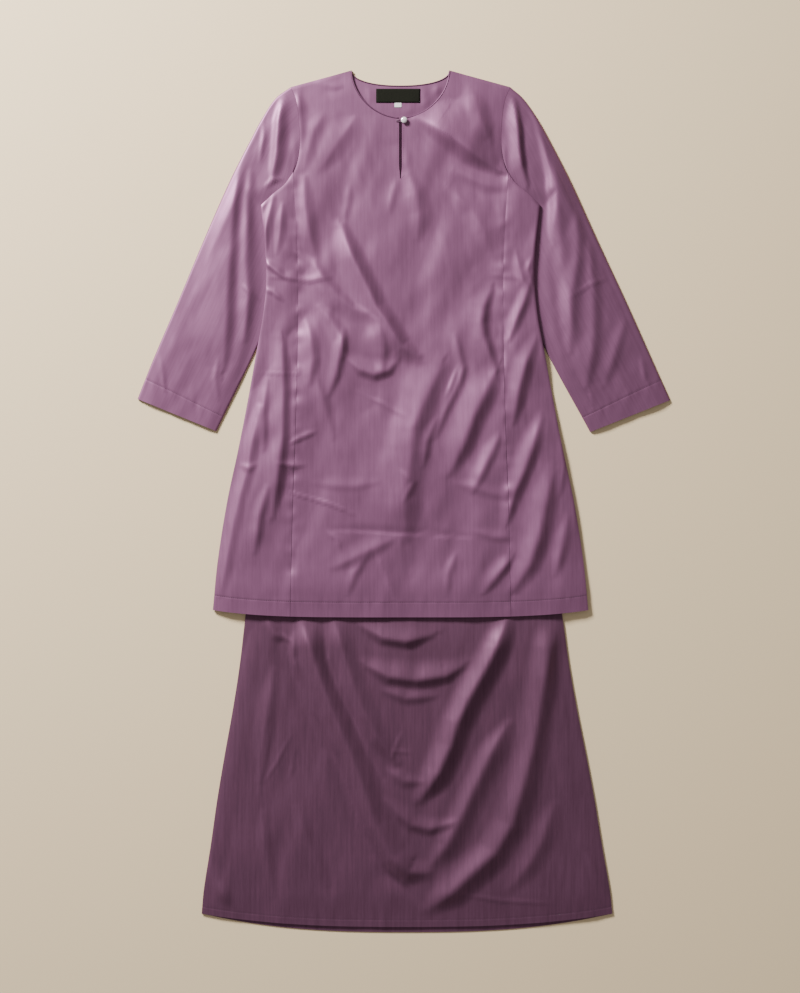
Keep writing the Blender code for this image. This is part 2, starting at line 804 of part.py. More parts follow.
def make_neck_rolls(parts):
    """Thin rolled edge round the neck: two front lengths and one back length."""
    start = math.asin(SLIT_HALF / NECK_HALF)
    for side, sign in SIDE_SIGN.items():
        route = neck_route(start, FRONT_NECK_STEPS, FRONT_NECK_DEPTH, FRONT_NECK_POWER, sign)
        points = []
        for x, down in route:
            height = LAYER + neck_lift(x, max(down, 0.0)) + WALL / 2.0
            raised = max(height, LAYER + 2.0 * ROLL_RADIUS)
            points.append((x, max(down, 0.2), raised))
        make_tube(f"neck_roll_front_{side}", points, ROLL_RADIUS, SATIN_EDGE, parts)
    halves = [
        neck_route(0.0, BACK_NECK_STEPS, BACK_NECK_DEPTH, BACK_NECK_POWER, sign) for sign in (-1, 1)
    ]
    line = halves[0][::-1] + halves[1][1:]
    points = [(x, max(down, 0.2), ROLL_RADIUS) for x, down in line]
    make_tube("neck_roll_back", points, ROLL_RADIUS, SATIN_EDGE, parts)


def make_button(parts):
    """Pearl button: a dome on a shank, turned about an upright axis."""
    seat = LAYER + NECK_LIFT + WALL + SEAM_GAP
    stem = ROLL_RADIUS + 2.0 * LOOP_RADIUS + SEAM_GAP
    profile = [(0.0, stem + BUTTON_DOME)]
    rim_steps = 5
    for step in range(1, rim_steps + 1):
        turn = math.pi / 2.0 * step / rim_steps
        profile.append((BUTTON_RADIUS * math.sin(turn), stem + 0.8 + (BUTTON_DOME - 0.8) * math.cos(turn)))
    profile += [(BUTTON_RADIUS - 0.7, stem), (SHANK_RADIUS, stem), (SHANK_RADIUS, 0.0), (0.0, 0.0)]
    data = bpy.data.meshes.new("pearl_button")
    mesh = bmesh.new()
    dots = [mesh.verts.new((radius * MM, 0.0, height * MM)) for radius, height in profile]
    for first, last in zip(dots, dots[1:]):
        mesh.edges.new((first, last))
    mesh.to_mesh(data)
    mesh.free()
    data.materials.append(make_material(PEARL))
    button = bpy.data.objects.new("pearl_button", data)
    parts.objects.link(button)
    button.location = frame_point(BUTTON_X, BUTTON_DOWN, seat)
    turned = button.modifiers.new("turned", "SCREW")
    turned.axis = "Z"
    turned.angle = 2.0 * math.pi
    turned.steps = 20
    turned.render_steps = 20
    turned.use_merge_vertices = True
    turned.merge_threshold = 0.00001
    turned.use_smooth_shade = True


def make_button_loop(parts):
    """Thread loop from the slit's right edge round the button's shank."""
    level = LAYER + NECK_LIFT + WALL + ROLL_RADIUS + LOOP_RADIUS
    root = level - ROLL_RADIUS + SEAM_GAP
    sweep = SHANK_RADIUS + SEAM_GAP + LOOP_RADIUS + 0.1
    points = [(-8.0, BUTTON_DOWN + 1.5, root), (-5.0, BUTTON_DOWN + 1.7, root + 0.3)]
    points.append((0.0, BUTTON_DOWN + sweep, level))
    turns = 8
    for step in range(turns + 1):
        turn = math.pi * (0.5 - step / turns)
        points.append((BUTTON_X + sweep * math.cos(turn), BUTTON_DOWN + sweep * math.sin(turn), level))
    points.append((0.0, BUTTON_DOWN - sweep, level))
    points.append((-5.0, BUTTON_DOWN - 0.2, root + 0.3))
    points.append((-8.0, BUTTON_DOWN + 0.1, root))
    make_tube("button_loop", points, LOOP_RADIUS, THREAD, parts)


def make_labels(parts):
    """Bare woven label inside the back neck, with a small tab at its foot."""
    make_tape("neck_label", LABEL_LEFT, LABEL_RIGHT, LABEL_TOP, LABEL_FOOT, LAYER, WOVEN_DARK, parts)
    make_tape("size_tab", TAB_LEFT, TAB_RIGHT, LABEL_FOOT + SEAM_GAP, TAB_FOOT, LAYER, WOVEN_WHITE,
              parts)


def main():
    """Clear the scene and build the whole garment."""
    for old in list(bpy.data.objects):
        bpy.data.objects.remove(old, do_unlink=True)
    parts = bpy.data.collections.new(OBJECT_NAME)
    bpy.context.scene.collection.children.link(parts)
    make_tunic_body(parts)
    make_sleeves(parts)
    make_skirt(parts)
    make_neck_rolls(parts)
    make_button(parts)
    make_button_loop(parts)
    make_labels(parts)


main()
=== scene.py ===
"""Dress a baju kurung laid flat: satin tunic and skirt, pearl button, stitching and table.

Lengths are in millimetres until a point is placed. x runs out from the tunic's centre line,
positive to the wearer's left, and down runs from the high shoulder points to the skirt's hem.
"""

from __future__ import annotations

import json
import logging
import math
from collections.abc import Callable, Iterable
from dataclasses import dataclass, field
from enum import Enum

import bmesh
import bpy
import numpy as np
from mathutils import Matrix, Vector

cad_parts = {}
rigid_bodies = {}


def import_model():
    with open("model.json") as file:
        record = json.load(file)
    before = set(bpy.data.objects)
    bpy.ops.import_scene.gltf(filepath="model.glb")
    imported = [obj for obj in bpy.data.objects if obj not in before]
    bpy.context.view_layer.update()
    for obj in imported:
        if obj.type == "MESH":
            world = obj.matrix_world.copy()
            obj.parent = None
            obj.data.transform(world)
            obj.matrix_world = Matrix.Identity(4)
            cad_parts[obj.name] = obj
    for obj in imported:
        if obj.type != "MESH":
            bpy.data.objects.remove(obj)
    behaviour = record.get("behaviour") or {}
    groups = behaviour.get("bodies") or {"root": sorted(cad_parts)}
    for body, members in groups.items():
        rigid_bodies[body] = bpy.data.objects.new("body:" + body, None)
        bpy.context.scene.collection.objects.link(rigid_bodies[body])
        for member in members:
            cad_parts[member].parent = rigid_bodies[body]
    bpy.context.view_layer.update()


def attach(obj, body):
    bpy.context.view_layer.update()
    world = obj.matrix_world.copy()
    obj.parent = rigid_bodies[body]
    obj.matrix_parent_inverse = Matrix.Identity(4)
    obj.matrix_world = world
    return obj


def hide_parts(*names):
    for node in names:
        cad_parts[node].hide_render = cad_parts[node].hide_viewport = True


LOG = logging.getLogger("baju_kurung")
MM = 0.001

Array = np.ndarray
Pair = tuple[Array, Array]
Heights = Callable[[Array, Array], Array]
Plan = Callable[[Array, Array], Pair]


def fade(value: Array, start: float, full: float) -> Array:
    """Rise smoothly from 0 at start to 1 at full."""
    share = np.clip((value - start) / (full - start), 0.0, 1.0)
    return share * share * (3.0 - 2.0 * share)


def rounded(distance: Array, radius: float) -> Array:
    """Rise from 0 at an edge to 1 at the radius along a quarter circle."""
    share = np.clip(distance / radius, 0.0, 1.0)
    return np.sqrt(np.maximum(0.0, 1.0 - (1.0 - share) ** 2))


def crowded(share: Array, *spots: tuple[float, float, float]) -> Array:
    """Draw even shares together round some spots.

    Args:
        share: Even shares from 0 to 1.
        spots: Place, width and strength of each spot.

    Returns:
        Shares from 0 to 1 that lie closer together at the spots.
    """
    fine = np.linspace(0.0, 1.0, 2001)
    density = np.ones_like(fine)
    for place, width, strength in spots:
        density += strength * np.exp(-(((fine - place) / width) ** 2))
    total = np.concatenate([[0.0], np.cumsum((density[1:] + density[:-1]) / 2.0)])
    return np.interp(share, total / total[-1], fine)


class Side(Enum):
    """The wearer's sides."""

    LEFT = "left"
    RIGHT = "right"

    @property
    def sign(self) -> float:
        """Sign of x on this side."""
        return 1.0 if self is Side.LEFT else -1.0


class Outline:
    """Smooth edge through a short table of (down, out) rows."""

    def __init__(self, *rows: tuple[float, float]) -> None:
        """Keep the rows and work out the slope at each.

        Args:
            rows: Heights and distances out from the centre line, from the top down.
        """
        self.down = np.array([row[0] for row in rows])
        self.out = np.array([row[1] for row in rows])
        before = np.maximum(np.arange(len(rows)) - 1, 0)
        after = np.minimum(np.arange(len(rows)) + 1, len(rows) - 1)
        self.slope = (self.out[after] - self.out[before]) / (self.down[after] - self.down[before])

    def at(self, down: Array | float) -> Array:
        """Read the edge's distance out at a height.

        Args:
            down: Heights to read.

        Returns:
            Distances out from the centre line.
        """
        place = np.clip(down, self.down[0], self.down[-1])
        low = np.clip(np.searchsorted(self.down, place, side="right") - 1, 0, len(self.down) - 2)
        span = self.down[low + 1] - self.down[low]
        share = (place - self.down[low]) / span
        rise = self.out[low + 1] - self.out[low]
        leave, arrive = self.slope[low] * span, self.slope[low + 1] * span
        bend = leave + arrive - 2.0 * rise
        pull = 3.0 * rise - 2.0 * leave - arrive
        return self.out[low] + share * (leave + share * (pull + share * bend))


@dataclass(frozen=True)
class Crease:
    """Soft ridge or trough laid along a route of (x, down) points.

    Beside a route that runs down, west is toward the wearer's right and east toward the left.
    """

    height: float
    west: float
    east: float
    route: tuple[tuple[float, float], ...]

    def lift(self, x: Array, down: Array) -> Array:
        """Height of the crease over the cloth round it.

        Args:
            x: Distances from the centre line.
            down: Heights on the garment.

        Returns:
            Heights in millimetres, 0 away from the crease.
        """
        reach = max(self.west, self.east)
        ends = np.array(self.route)
        low, high = ends.min(axis=0) - reach, ends.max(axis=0) + reach
        near = (x > low[0]) & (x < high[0]) & (down > low[1]) & (down < high[1])
        result = np.zeros_like(x)
        if not near.any():
            return result
        px, pd = x[near], down[near]
        best = np.full(px.shape, np.inf)
        signed = np.zeros_like(px)
        along = np.zeros_like(px)
        steps = np.diff(ends, axis=0)
        lengths = np.hypot(steps[:, 0], steps[:, 1])
        starts = np.concatenate([[0.0], np.cumsum(lengths)[:-1]])
        for (x0, d0), (run_x, run_d), length, start in zip(ends, steps, lengths, starts):
            share = np.clip(((px - x0) * run_x + (pd - d0) * run_d) / length**2, 0.0, 1.0)
            away_x, away_d = px - x0 - share * run_x, pd - d0 - share * run_d
            away = np.hypot(away_x, away_d)
            side = (away_x * run_d - away_d * run_x) / length
            closer = away < best
            best = np.where(closer, away, best)
            signed = np.where(closer, np.sign(side) * away, signed)
            along = np.where(closer, start + share * length, along)
        total = lengths.sum()
        taper = min(0.35 * total, 60.0)
        ending = fade(np.minimum(along, total - along), -0.5 * taper, taper)
        width = np.where(signed > 0.0, self.east, self.west) * (0.4 + 0.6 * ending)
        away = np.minimum(1.0, best / width)
        crest = (np.hypot(away, 0.1) - 0.1) / (math.hypot(1.0, 0.1) - 0.1)
        bell = 0.4 * (0.5 + 0.5 * np.cos(np.pi * away)) + 0.6 * (1.0 - crest) ** 2
        result[near] = self.height * bell * ending
        return result


def creased(creases: Iterable[Crease], x: Array, down: Array) -> Array:
    """Sum of several creases' heights at the same places."""
    total = np.zeros_like(x)
    for crease in creases:
        total += crease.lift(x, down)
    return total


class SoftNoise:
    """Smooth random unevenness of cloth, the same each run."""

    def __init__(self, seed: int, cells: int = 128) -> None:
        """Fill a square table with seeded numbers from -1 to 1."""
        self.cells = cells
        self.table = np.random.default_rng(seed).uniform(-1.0, 1.0, (cells, cells))

    def at(self, u: Array, v: Array) -> Array:
        """Read the unevenness at places measured in cells.

        Args:
            u: Places along the first axis.
            v: Places along the second axis.

        Returns:
            Smooth values from -1 to 1.
        """
        iu, iv = np.floor(u).astype(int), np.floor(v).astype(int)
        fu, fv = u - iu, v - iv
        fu, fv = fu * fu * (3.0 - 2.0 * fu), fv * fv * (3.0 - 2.0 * fv)
        iu, iv = iu % self.cells, iv % self.cells
        ju, jv = (iu + 1) % self.cells, (iv + 1) % self.cells
        top = self.table[iu, iv] * (1.0 - fu) + self.table[ju, iv] * fu
        low = self.table[iu, jv] * (1.0 - fu) + self.table[ju, jv] * fu
        return top * (1.0 - fv) + low * fv


TUNIC_CREASES = (
    Crease(12.0, 28, 80, ((30, 82), (62, 101), (100, 126), (130, 148), (166, 172))),
    Crease(3.4, 40, 22, ((128, 40), (138, 80), (148, 104), (156, 122))),
    Crease(2.6, 20, 30, ((96, 176), (125, 190), (150, 200), (178, 207))),
    Crease(2.6, 36, 24, ((-80, 84), (-90, 100), (-108, 124), (-136, 168))),
    Crease(1.6, 24, 18, ((-136, 80), (-150, 104), (-163, 146), (-168, 170))),
    Crease(3.8, 22, 20, ((-168, 188), (-166, 240), (-158, 290), (-146, 340))),
    Crease(2.8, 24, 26, ((12, 186), (26, 212), (34, 250), (30, 290))),
    Crease(1.0, 10, 10, ((-5, 190), (-10, 204), (-16, 228), (-20, 250))),
    Crease(1.0, 10, 12, ((10, 140), (12, 160), (18, 186), (26, 205))),
    Crease(2.0, 14, 14, ((-145, 22), (-95, 30))),
    Crease(3.4, 24, 40, ((84, 206), (122, 242), (146, 282), (158, 320))),
    Crease(3.0, 6, 20, ((-180, 35), (-180, 80), (-178, 130))),
    Crease(8.6, 38, 24, ((-102, 272), (-84, 325), (-70, 355), (-55, 385), (-42, 415), (-25, 438),
                          (-12, 460), (2, 482), (30, 500))),
    Crease(1.0, 14, 10, ((-88, 200), (-92, 235), (-98, 262))),
    Crease(2.6, 40, 14, ((-40, 440), (-30, 480), (-28, 515))),
    Crease(4.0, 14, 30, ((-92, 505), (-70, 524), (-45, 532), (-20, 524), (-6, 508))),
    Crease(3.8, 36, 16, ((-176, 322), (-152, 340), (-132, 366), (-110, 394), (-84, 416),
                         (-58, 426))),
    Crease(1.2, 14, 18, ((-150, 372), (-132, 392), (-122, 412), (-124, 432))),
    Crease(3.4, 8, 16, ((-242, 334), (-226, 344), (-204, 362))),
    Crease(1.2, 8, 14, ((-228, 362), (-204, 362), (-160, 368), (-120, 362))),
    Crease(1.6, 8, 10, ((-240, 382), (-222, 388), (-206, 402))),
    Crease(3.0, 12, 14, ((-222, 222), (-232, 262), (-240, 300), (-243, 330))),
    Crease(1.8, 12, 14, ((-206, 236), (-210, 280), (-216, 318))),
    Crease(5.4, 38, 16, ((158, 384), (146, 414), (142, 440), (146, 468), (154, 492), (166, 524))),
    Crease(3.2, 20, 14, ((226, 372), (216, 405), (204, 432), (190, 470))),
    Crease(0.9, 7, 12, ((160, 358), (192, 361), (206, 366))),
    Crease(2.0, 16, 14, ((202, 318), (208, 345), (214, 368), (226, 384))),
    Crease(1.6, 12, 10, ((228, 330), (222, 350), (230, 372))),
    Crease(2.8, 24, 16, ((-166, 432), (-156, 470), (-152, 505), (-158, 545))),
    Crease(2.8, 20, 12, ((-98, 456), (-104, 495), (-112, 532), (-124, 566))),
    Crease(3.0, 22, 16, ((-140, 414), (-118, 440), (-102, 468), (-100, 500))),
    Crease(0.4, 3, 5, ((-255, 529), (-205, 531), (-160, 530))),
    Crease(7.0, 70, 38, ((70, 520), (50, 560), (36, 590), (21, 627), (20, 666), (13, 704),
                         (6, 742), (5, 812))),
    Crease(5.6, 44, 26, ((170, 520), (150, 560), (128, 605), (112, 650), (88, 700))),
    Crease(2.2, 22, 12, ((112, 520), (96, 560), (76, 600), (62, 640))),
    Crease(2.2, 16, 12, ((62, 610), (46, 650), (40, 690))),
    Crease(2.0, 14, 12, ((96, 462), (102, 492), (108, 520), (106, 548))),
    Crease(1.2, 4, 8, ((100, 515), (80, 570))),
    Crease(5.0, 28, 20, ((236, 470), (218, 515), (206, 560), (198, 612))),
    Crease(4.6, 30, 18, ((246, 608), (232, 655), (216, 700), (200, 735), (186, 790))),
    Crease(6.0, 38, 26, ((268, 700), (252, 765), (240, 820), (226, 862), (200, 905))),
    Crease(3.0, 18, 14, ((284, 640), (286, 690), (278, 740))),
    Crease(2.6, 18, 16, ((292, 780), (284, 830), (270, 880))),
    Crease(5.0, 22, 18, ((-246, 590), (-260, 650), (-268, 700), (-280, 740), (-292, 790),
                         (-303, 850), (-314, 915))),
    Crease(4.6, 38, 16, ((-206, 470), (-204, 560), (-206, 640), (-215, 720), (-224, 780))),
    Crease(2.6, 22, 12, ((-232, 540), (-240, 600), (-238, 660))),
    Crease(3.4, 20, 14, ((-232, 730), (-246, 780), (-254, 840))),
    Crease(1.6, 10, 11, ((-278, 690), (-264, 696), (-252, 688))),
    Crease(1.6, 6, 11, ((-192, 652), (-172, 642), (-148, 632))),
    Crease(1.2, 6, 12, ((-214, 688), (-184, 692), (-166, 690))),
    Crease(2.4, 22, 16, ((-146, 540), (-136, 572), (-128, 605), (-118, 640))),
    Crease(1.0, 10, 5, ((-78, 560), (-30, 582), (6, 604))),
    Crease(0.9, 12, 20, ((-150, 722), (-115, 726), (-78, 727), (-40, 720))),
    Crease(1.2, 4, 5, ((-200, 736), (-123, 758), (-80, 776))),
    Crease(-1.0, 4, 16, ((-120, 802), (-30, 806), (40, 811), (122, 816))),
    Crease(1.4, 5, 10, ((-128, 806), (-112, 820), (-104, 838))),
    Crease(2.6, 18, 30, ((-114, 868), (-60, 842), (-14, 820))),
    Crease(1.8, 6, 26, ((-46, 832), (-28, 880), (-8, 926))),
    Crease(1.4, 8, 12, ((0, 700), (22, 720), (6, 752))),
    Crease(3.8, 26, 14, ((194, 852), (168, 884), (146, 912))),
    Crease(1.5, 12, 16, ((132, 806), (160, 815), (190, 818))),
    Crease(3.0, 24, 14, ((172, 640), (158, 672), (142, 704), (128, 734))),
    Crease(1.5, 14, 18, ((98, 722), (122, 728), (155, 738), (182, 746))),
    Crease(2.0, 18, 12, ((-60, 850), (-80, 880), (-92, 914))),
    Crease(1.8, 16, 12, ((96, 846), (84, 880), (80, 916))),
)

NECK_BACK_CREASES = (
    Crease(1.6, 9, 12, ((38, 32), (44, 52), (42, 70))),
    Crease(1.8, 8, 12, ((60, 26), (68, 44))),
    Crease(1.2, 8, 8, ((-56, 30), (-50, 56))),
    Crease(0.8, 8, 8, ((16, 62), (14, 82))),
)

SKIRT_CREASES = (
    Crease(12.0, 36, 30, ((192, 945), (170, 1005), (146, 1052), (120, 1098), (100, 1140),
                          (88, 1180), (68, 1225), (36, 1272))),
    Crease(10.0, 40, 34, ((282, 945), (262, 1012), (252, 1062), (241, 1130), (230, 1190),
                          (214, 1252), (194, 1318), (164, 1368), (122, 1406), (90, 1436),
                          (50, 1466))),
    Crease(11.0, 34, 38, ((-176, 945), (-160, 1000), (-140, 1060), (-118, 1120), (-88, 1190),
                          (-66, 1250), (-44, 1318), (-14, 1374), (14, 1400), (46, 1402))),
    Crease(7.5, 34, 30, ((56, 1386), (80, 1356), (105, 1308), (128, 1258), (156, 1200),
                         (186, 1145))),
    Crease(-4.0, 34, 12, ((-214, 960), (-192, 1040), (-161, 1123), (-116, 1199), (-93, 1260),
                          (-63, 1335), (-28, 1400), (13, 1434))),
    Crease(-3.5, 26, 10, ((-136, 960), (-130, 1030), (-112, 1080), (-86, 1130), (-60, 1190),
                          (-30, 1240))),
    Crease(7.0, 24, 30, ((-118, 945), (-102, 1010), (-84, 1070), (-62, 1124), (-40, 1166),
                         (-8, 1208))),
    Crease(4.6, 16, 26, ((-24, 1276), (-2, 1300), (20, 1318), (50, 1326), (88, 1316))),
    Crease(3.0, 16, 20, ((-20, 1224), (6, 1242), (34, 1244))),
    Crease(7.4, 16, 50, ((-72, 968), (-30, 992), (10, 998), (56, 986))),
    Crease(7.0, 18, 38, ((-60, 1040), (-20, 1060), (30, 1066), (80, 1058), (110, 1040))),
    Crease(3.0, 14, 22, ((-30, 1084), (10, 1098), (60, 1094))),
    Crease(4.0, 28, 28, ((268, 1286), (248, 1345), (228, 1382), (194, 1428))),
    Crease(4.0, 16, 12, ((-240, 950), (-218, 985), (-196, 996))),
    Crease(3.0, 12, 12, ((-186, 985), (-188, 1025), (-180, 1062))),
    Crease(3.2, 24, 20, ((-222, 1050), (-234, 1140), (-246, 1240))),
    Crease(4.6, 10, 36, ((-262, 985), (-288, 1130), (-314, 1280), (-340, 1420))),
    Crease(3.4, 26, 22, ((-180, 1290), (-160, 1350), (-130, 1420))),
    Crease(2.6, 22, 20, ((-240, 1300), (-236, 1360), (-222, 1440))),
    Crease(1.0, 4, 5, ((-225, 1140), (-236, 1200), (-248, 1267))),
    Crease(1.0, 5, 5, ((-191, 1160), (-216, 1210), (-240, 1248))),
    Crease(1.1, 5, 6, ((-183, 1170), (-188, 1215), (-196, 1242))),
    Crease(1.4, 4, 6, ((2, 1156), (-8, 1182), (-17, 1206))),
    Crease(1.2, 4, 5, ((-14, 1190), (18, 1192))),
    Crease(1.2, 5, 7, ((104, 1440), (180, 1452), (266, 1456))),
    Crease(3.4, 16, 16, ((372, 1446), (345, 1408), (326, 1372))),
    Crease(3.6, 20, 18, ((-338, 1380), (-322, 1420), (-296, 1460))),
)

SLEEVE_CREASES = {
    Side.LEFT: (
        Crease(7.0, 26, 10, ((200, 52), (203, 80), (206, 110), (208, 140), (212, 168), (222, 200))),
        Crease(4.4, 12, 50, ((224, 52), (240, 90), (254, 140), (262, 185), (266, 240), (264, 290))),
        Crease(5.0, 24, 120, ((272, 150), (276, 240), (284, 340), (300, 440), (326, 550))),
        Crease(3.6, 26, 20, ((308, 250), (310, 330), (298, 400), (296, 490))),
        Crease(3.2, 22, 18, ((330, 310), (338, 400), (338, 460), (326, 550))),
        Crease(2.4, 22, 16, ((392, 440), (376, 490), (356, 550))),
        Crease(0.9, 4, 8, ((300, 396), (330, 376), (364, 362))),
        Crease(1.4, 8, 10, ((420, 500), (428, 540))),
    ),
    Side.RIGHT: (
        Crease(6.0, 80, 18, ((-232, 50), (-252, 90), (-272, 134), (-286, 184), (-293, 256),
                             (-297, 320), (-302, 380), (-304, 440), (-310, 520))),
        Crease(3.6, 20, 18, ((-262, 180), (-266, 250), (-270, 330), (-266, 400), (-272, 470))),
        Crease(6.5, 14, 22, ((-206, 44), (-213, 90), (-216, 140), (-224, 190))),
        Crease(1.8, 6, 8, ((-240, 80), (-240, 120), (-246, 160))),
        Crease(2.2, 6, 7, ((-238, 206), (-222, 192), (-206, 190))),
        Crease(1.5, 5, 7, ((-276, 376), (-258, 392), (-238, 410))),
        Crease(1.6, 8, 9, ((-424, 490), (-416, 530), (-412, 560))),
        Crease(1.4, 8, 9, ((-318, 500), (-324, 540), (-318, 575))),
    ),
}

# Inner edge of either sleeve as (down, out), from the armpit toward the cuff
SLEEVE_INNER = (
    (236.0, 244.0), (262.0, 231.0), (300.0, 221.0), (345.0, 218.0), (400.0, 223.0), (474.0, 247.0),
)


@dataclass(frozen=True)
class GarmentForm:
    """Plan and layer heights of the whole set, the same as its solids have."""

    wall: float = 1.2
    gap: float = 0.3
    total_length: float = 1506.6
    centre_x: float = -5.8
    neck_half: float = 87.0
    front_neck_depth: float = 85.0
    front_neck_power: float = 1.88
    back_neck_depth: float = 28.0
    back_neck_power: float = 2.2
    shoulder_half: float = 192.0
    shoulder_drop: float = 28.7
    seam_top: float = 178.0
    armpit: float = 236.0
    hem_corner: float = 943.0
    hem_centre: float = 955.5
    hem_power: float = 4.0
    waist_foot: float = 552.0
    skirt_corner: float = 1474.0
    skirt_hem_front: float = 1497.0
    skirt_hem_back: float = 1506.6
    skirt_hem_power: float = 2.6
    tube: float = 3.0
    armhole: Outline = Outline(
        (28.7, 192.0), (47.5, 183.5), (72.0, 178.7), (97.0, 176.5), (132.0, 176.0), (160.0, 180.5),
        (178.0, 187.6), (199.0, 201.7), (214.5, 220.5), (236.0, 244.0),
    )
    panel_seam: Outline = Outline(
        (178.0, 187.6), (320.0, 180.0), (453.0, 179.4), (620.0, 183.0), (747.0, 188.0),
        (943.0, 192.5)
    )
    tunic_side: Outline = Outline(
        (236.0, 244.0), (345.0, 234.5), (415.0, 238.5), (497.0, 253.0), (595.0, 271.0),
        (661.0, 284.0),
        (751.0, 303.0), (856.0, 319.5), (943.0, 328.0),
    )
    skirt_side: Outline = Outline(
        (552.0, 190.0), (650.0, 232.0), (750.0, 252.0), (855.0, 264.0), (961.0, 278.0),
        (1039.5, 288.0),
        (1118.0, 301.0), (1197.0, 316.0), (1276.0, 330.0), (1354.5, 342.0), (1433.0, 355.0),
        (1474.0, 359.0),
    )
    skirt_lean: Outline = Outline((552.0, 1.8), (961.0, 6.0), (1474.0, 11.4))

    def point(self, x: float, down: float, height: float) -> Vector:
        """Point in the part's frame, in metres."""
        return Vector(
            ((x + self.centre_x) * MM, (self.total_length / 2.0 - down) * MM, height * MM)
        )

    def points(self, x: Array, down: Array, height: Array) -> Array:
        """Rows of points in the part's frame, in metres."""
        return np.column_stack(
            ((x + self.centre_x) * MM, (self.total_length / 2.0 - down) * MM, height * MM)
        )

    def neck_down(self, x: Array, depth: float, power: float) -> Array:
        """Depth of a neckline at x, 0 from the high shoulder point outward."""
        share = np.clip(np.abs(x) / self.neck_half, 0.0, 1.0)
        return depth * np.maximum(0.0, 1.0 - share**power) ** (1.0 / power)

    def shoulder_down(self, x: Array) -> Array:
        """Height of the straight shoulder seam."""
        run = self.shoulder_half - self.neck_half
        return self.shoulder_drop * np.maximum(0.0, np.abs(x) - self.neck_half) / run

    def hem_down(self, x: Array) -> Array:
        """Height of the tunic's hem, which curves up toward the side seams."""
        share = np.clip(np.abs(x) / self.tunic_side.out[-1], 0.0, 1.0)
        return self.hem_centre - (self.hem_centre - self.hem_corner) * share**self.hem_power

    def centre_edge(self, down: Array) -> Array:
        """Outer edge of the centre panels."""
        return np.where(down <= self.seam_top, self.armhole.at(down), self.panel_seam.at(down))

    def tunic_edge(self, down: Array) -> Array:
        """Outer edge of the tunic's body."""
        return np.where(down <= self.armpit, self.armhole.at(down), self.tunic_side.at(down))

    def skirt_cover(self, x: Array, down: Array) -> Array:
        """Height that the skirt gives to the tunic's underside."""
        beside = np.abs(x - self.skirt_lean.at(down)) - self.skirt_side.at(down)
        level = self.tube + self.gap + 2.2 * fade(down, 860.0, 915.0)
        return level * fade(down, 415.0, 485.0) * (1.0 - fade(beside, 26.0, 76.0))

    def tuck_cover(self, x: Array, down: Array) -> Array:
        """Height that a sleeve under the tunic's side gives to its underside."""
        inside = np.abs(x) - (self.tunic_edge(np.maximum(down, self.armpit)) - 35.0)
        along = fade(down, 150.0, 205.0) * (1.0 - fade(down, 500.0, 570.0))
        return (self.tube + self.gap) * along * fade(inside, -50.0, 0.0)

    def back_under(self, x: Array, down: Array) -> Array:
        """Under face of the tunic's back."""
        return np.maximum(self.skirt_cover(x, down), self.tuck_cover(x, down))

    def back_top(self, x: Array, down: Array) -> Array:
        """Upper face of the tunic's back."""
        return self.back_under(x, down) + self.wall

    def neck_reach(self, x: Array, down: Array) -> Array:
        """Rough distance out from the front neckline."""
        power = self.front_neck_power
        across = (np.abs(x) / self.neck_half) ** power
        ring = (across + (np.maximum(down, 0.0) / self.front_neck_depth) ** power) ** (1.0 / power)
        return (ring - 1.0) * self.neck_half

    def neck_lift(self, x: Array, down: Array) -> Array:
        """Stand-off of the front round its neckline and slit."""
        below = fade(down - self.shoulder_down(x), 0.0, 45.0)
        at_shoulder = 1.0 - fade(np.abs(x), self.neck_half, 118.0)
        lift = at_shoulder + (3.0 - at_shoulder) * below
        return lift * (1.0 - fade(self.neck_reach(x, down), 30.0, 90.0))


FORM = GarmentForm()


@dataclass(frozen=True)
class SatinFinish:
    """Slub satin: a soft sheen over fine lengthwise streaks."""

    name: str
    light: tuple[float, float, float]
    dark: tuple[float, float, float]
    roughness: float = 0.5
    metallic: float = 0.58
    specular: float = 0.5
    sheen: float = 0.05


@dataclass(frozen=True)
class PlainFinish:
    """Small trimming with a fine grain."""

    name: str
    colour: tuple[float, float, float]
    roughness: float
    grain: float = 0.08
    coat: float = 0.0
    grain_scale: float = 900.0
    stretch: tuple[float, float, float] = (1.0, 1.0, 1.0)
    metallic: float = 0.0
    specular: float = 0.5


TUNIC_SATIN = SatinFinish("tunic_satin", (0.248, 0.101, 0.193), (0.20, 0.079, 0.154))
# The sleeves' threads run askew to each other, so their sheen differs; the wearer's left sleeve's
# darker colour is painted shade for its lower sheen and fainter light
SLEEVE_SATIN = {
    Side.LEFT: SatinFinish("left_sleeve_shaded_satin", (0.214, 0.087, 0.166), (0.172, 0.068, 0.132)),
    Side.RIGHT: SatinFinish("right_sleeve_satin", TUNIC_SATIN.light, TUNIC_SATIN.dark),
}
# The skirt's satin, and its copy for the hidden waistband, is a darker copy of the tunic's satin:
# painted shade for the lower sheen and fainter light on the skirt
SKIRT_SATIN = SatinFinish("skirt_satin", (0.152, 0.061, 0.112), (0.110, 0.044, 0.081))
SKIRT_SATIN_PLACED = SatinFinish("skirt_satin_placed", SKIRT_SATIN.light, SKIRT_SATIN.dark)
# The neck roll's satin is a darker copy of the tunic's satin: painted shade that dims the light the
# rolled edge catches
ROLL_SATIN = SatinFinish("roll_satin", (0.150, 0.060, 0.118), (0.116, 0.046, 0.090))
PEARL = PlainFinish("pearl", (0.86, 0.80, 0.80), 0.12, 0.05, 0.7, 260.0, metallic=0.35)
THREAD = PlainFinish("purple_thread", (0.13, 0.05, 0.10), 0.7, 0.25, grain_scale=2500.0)
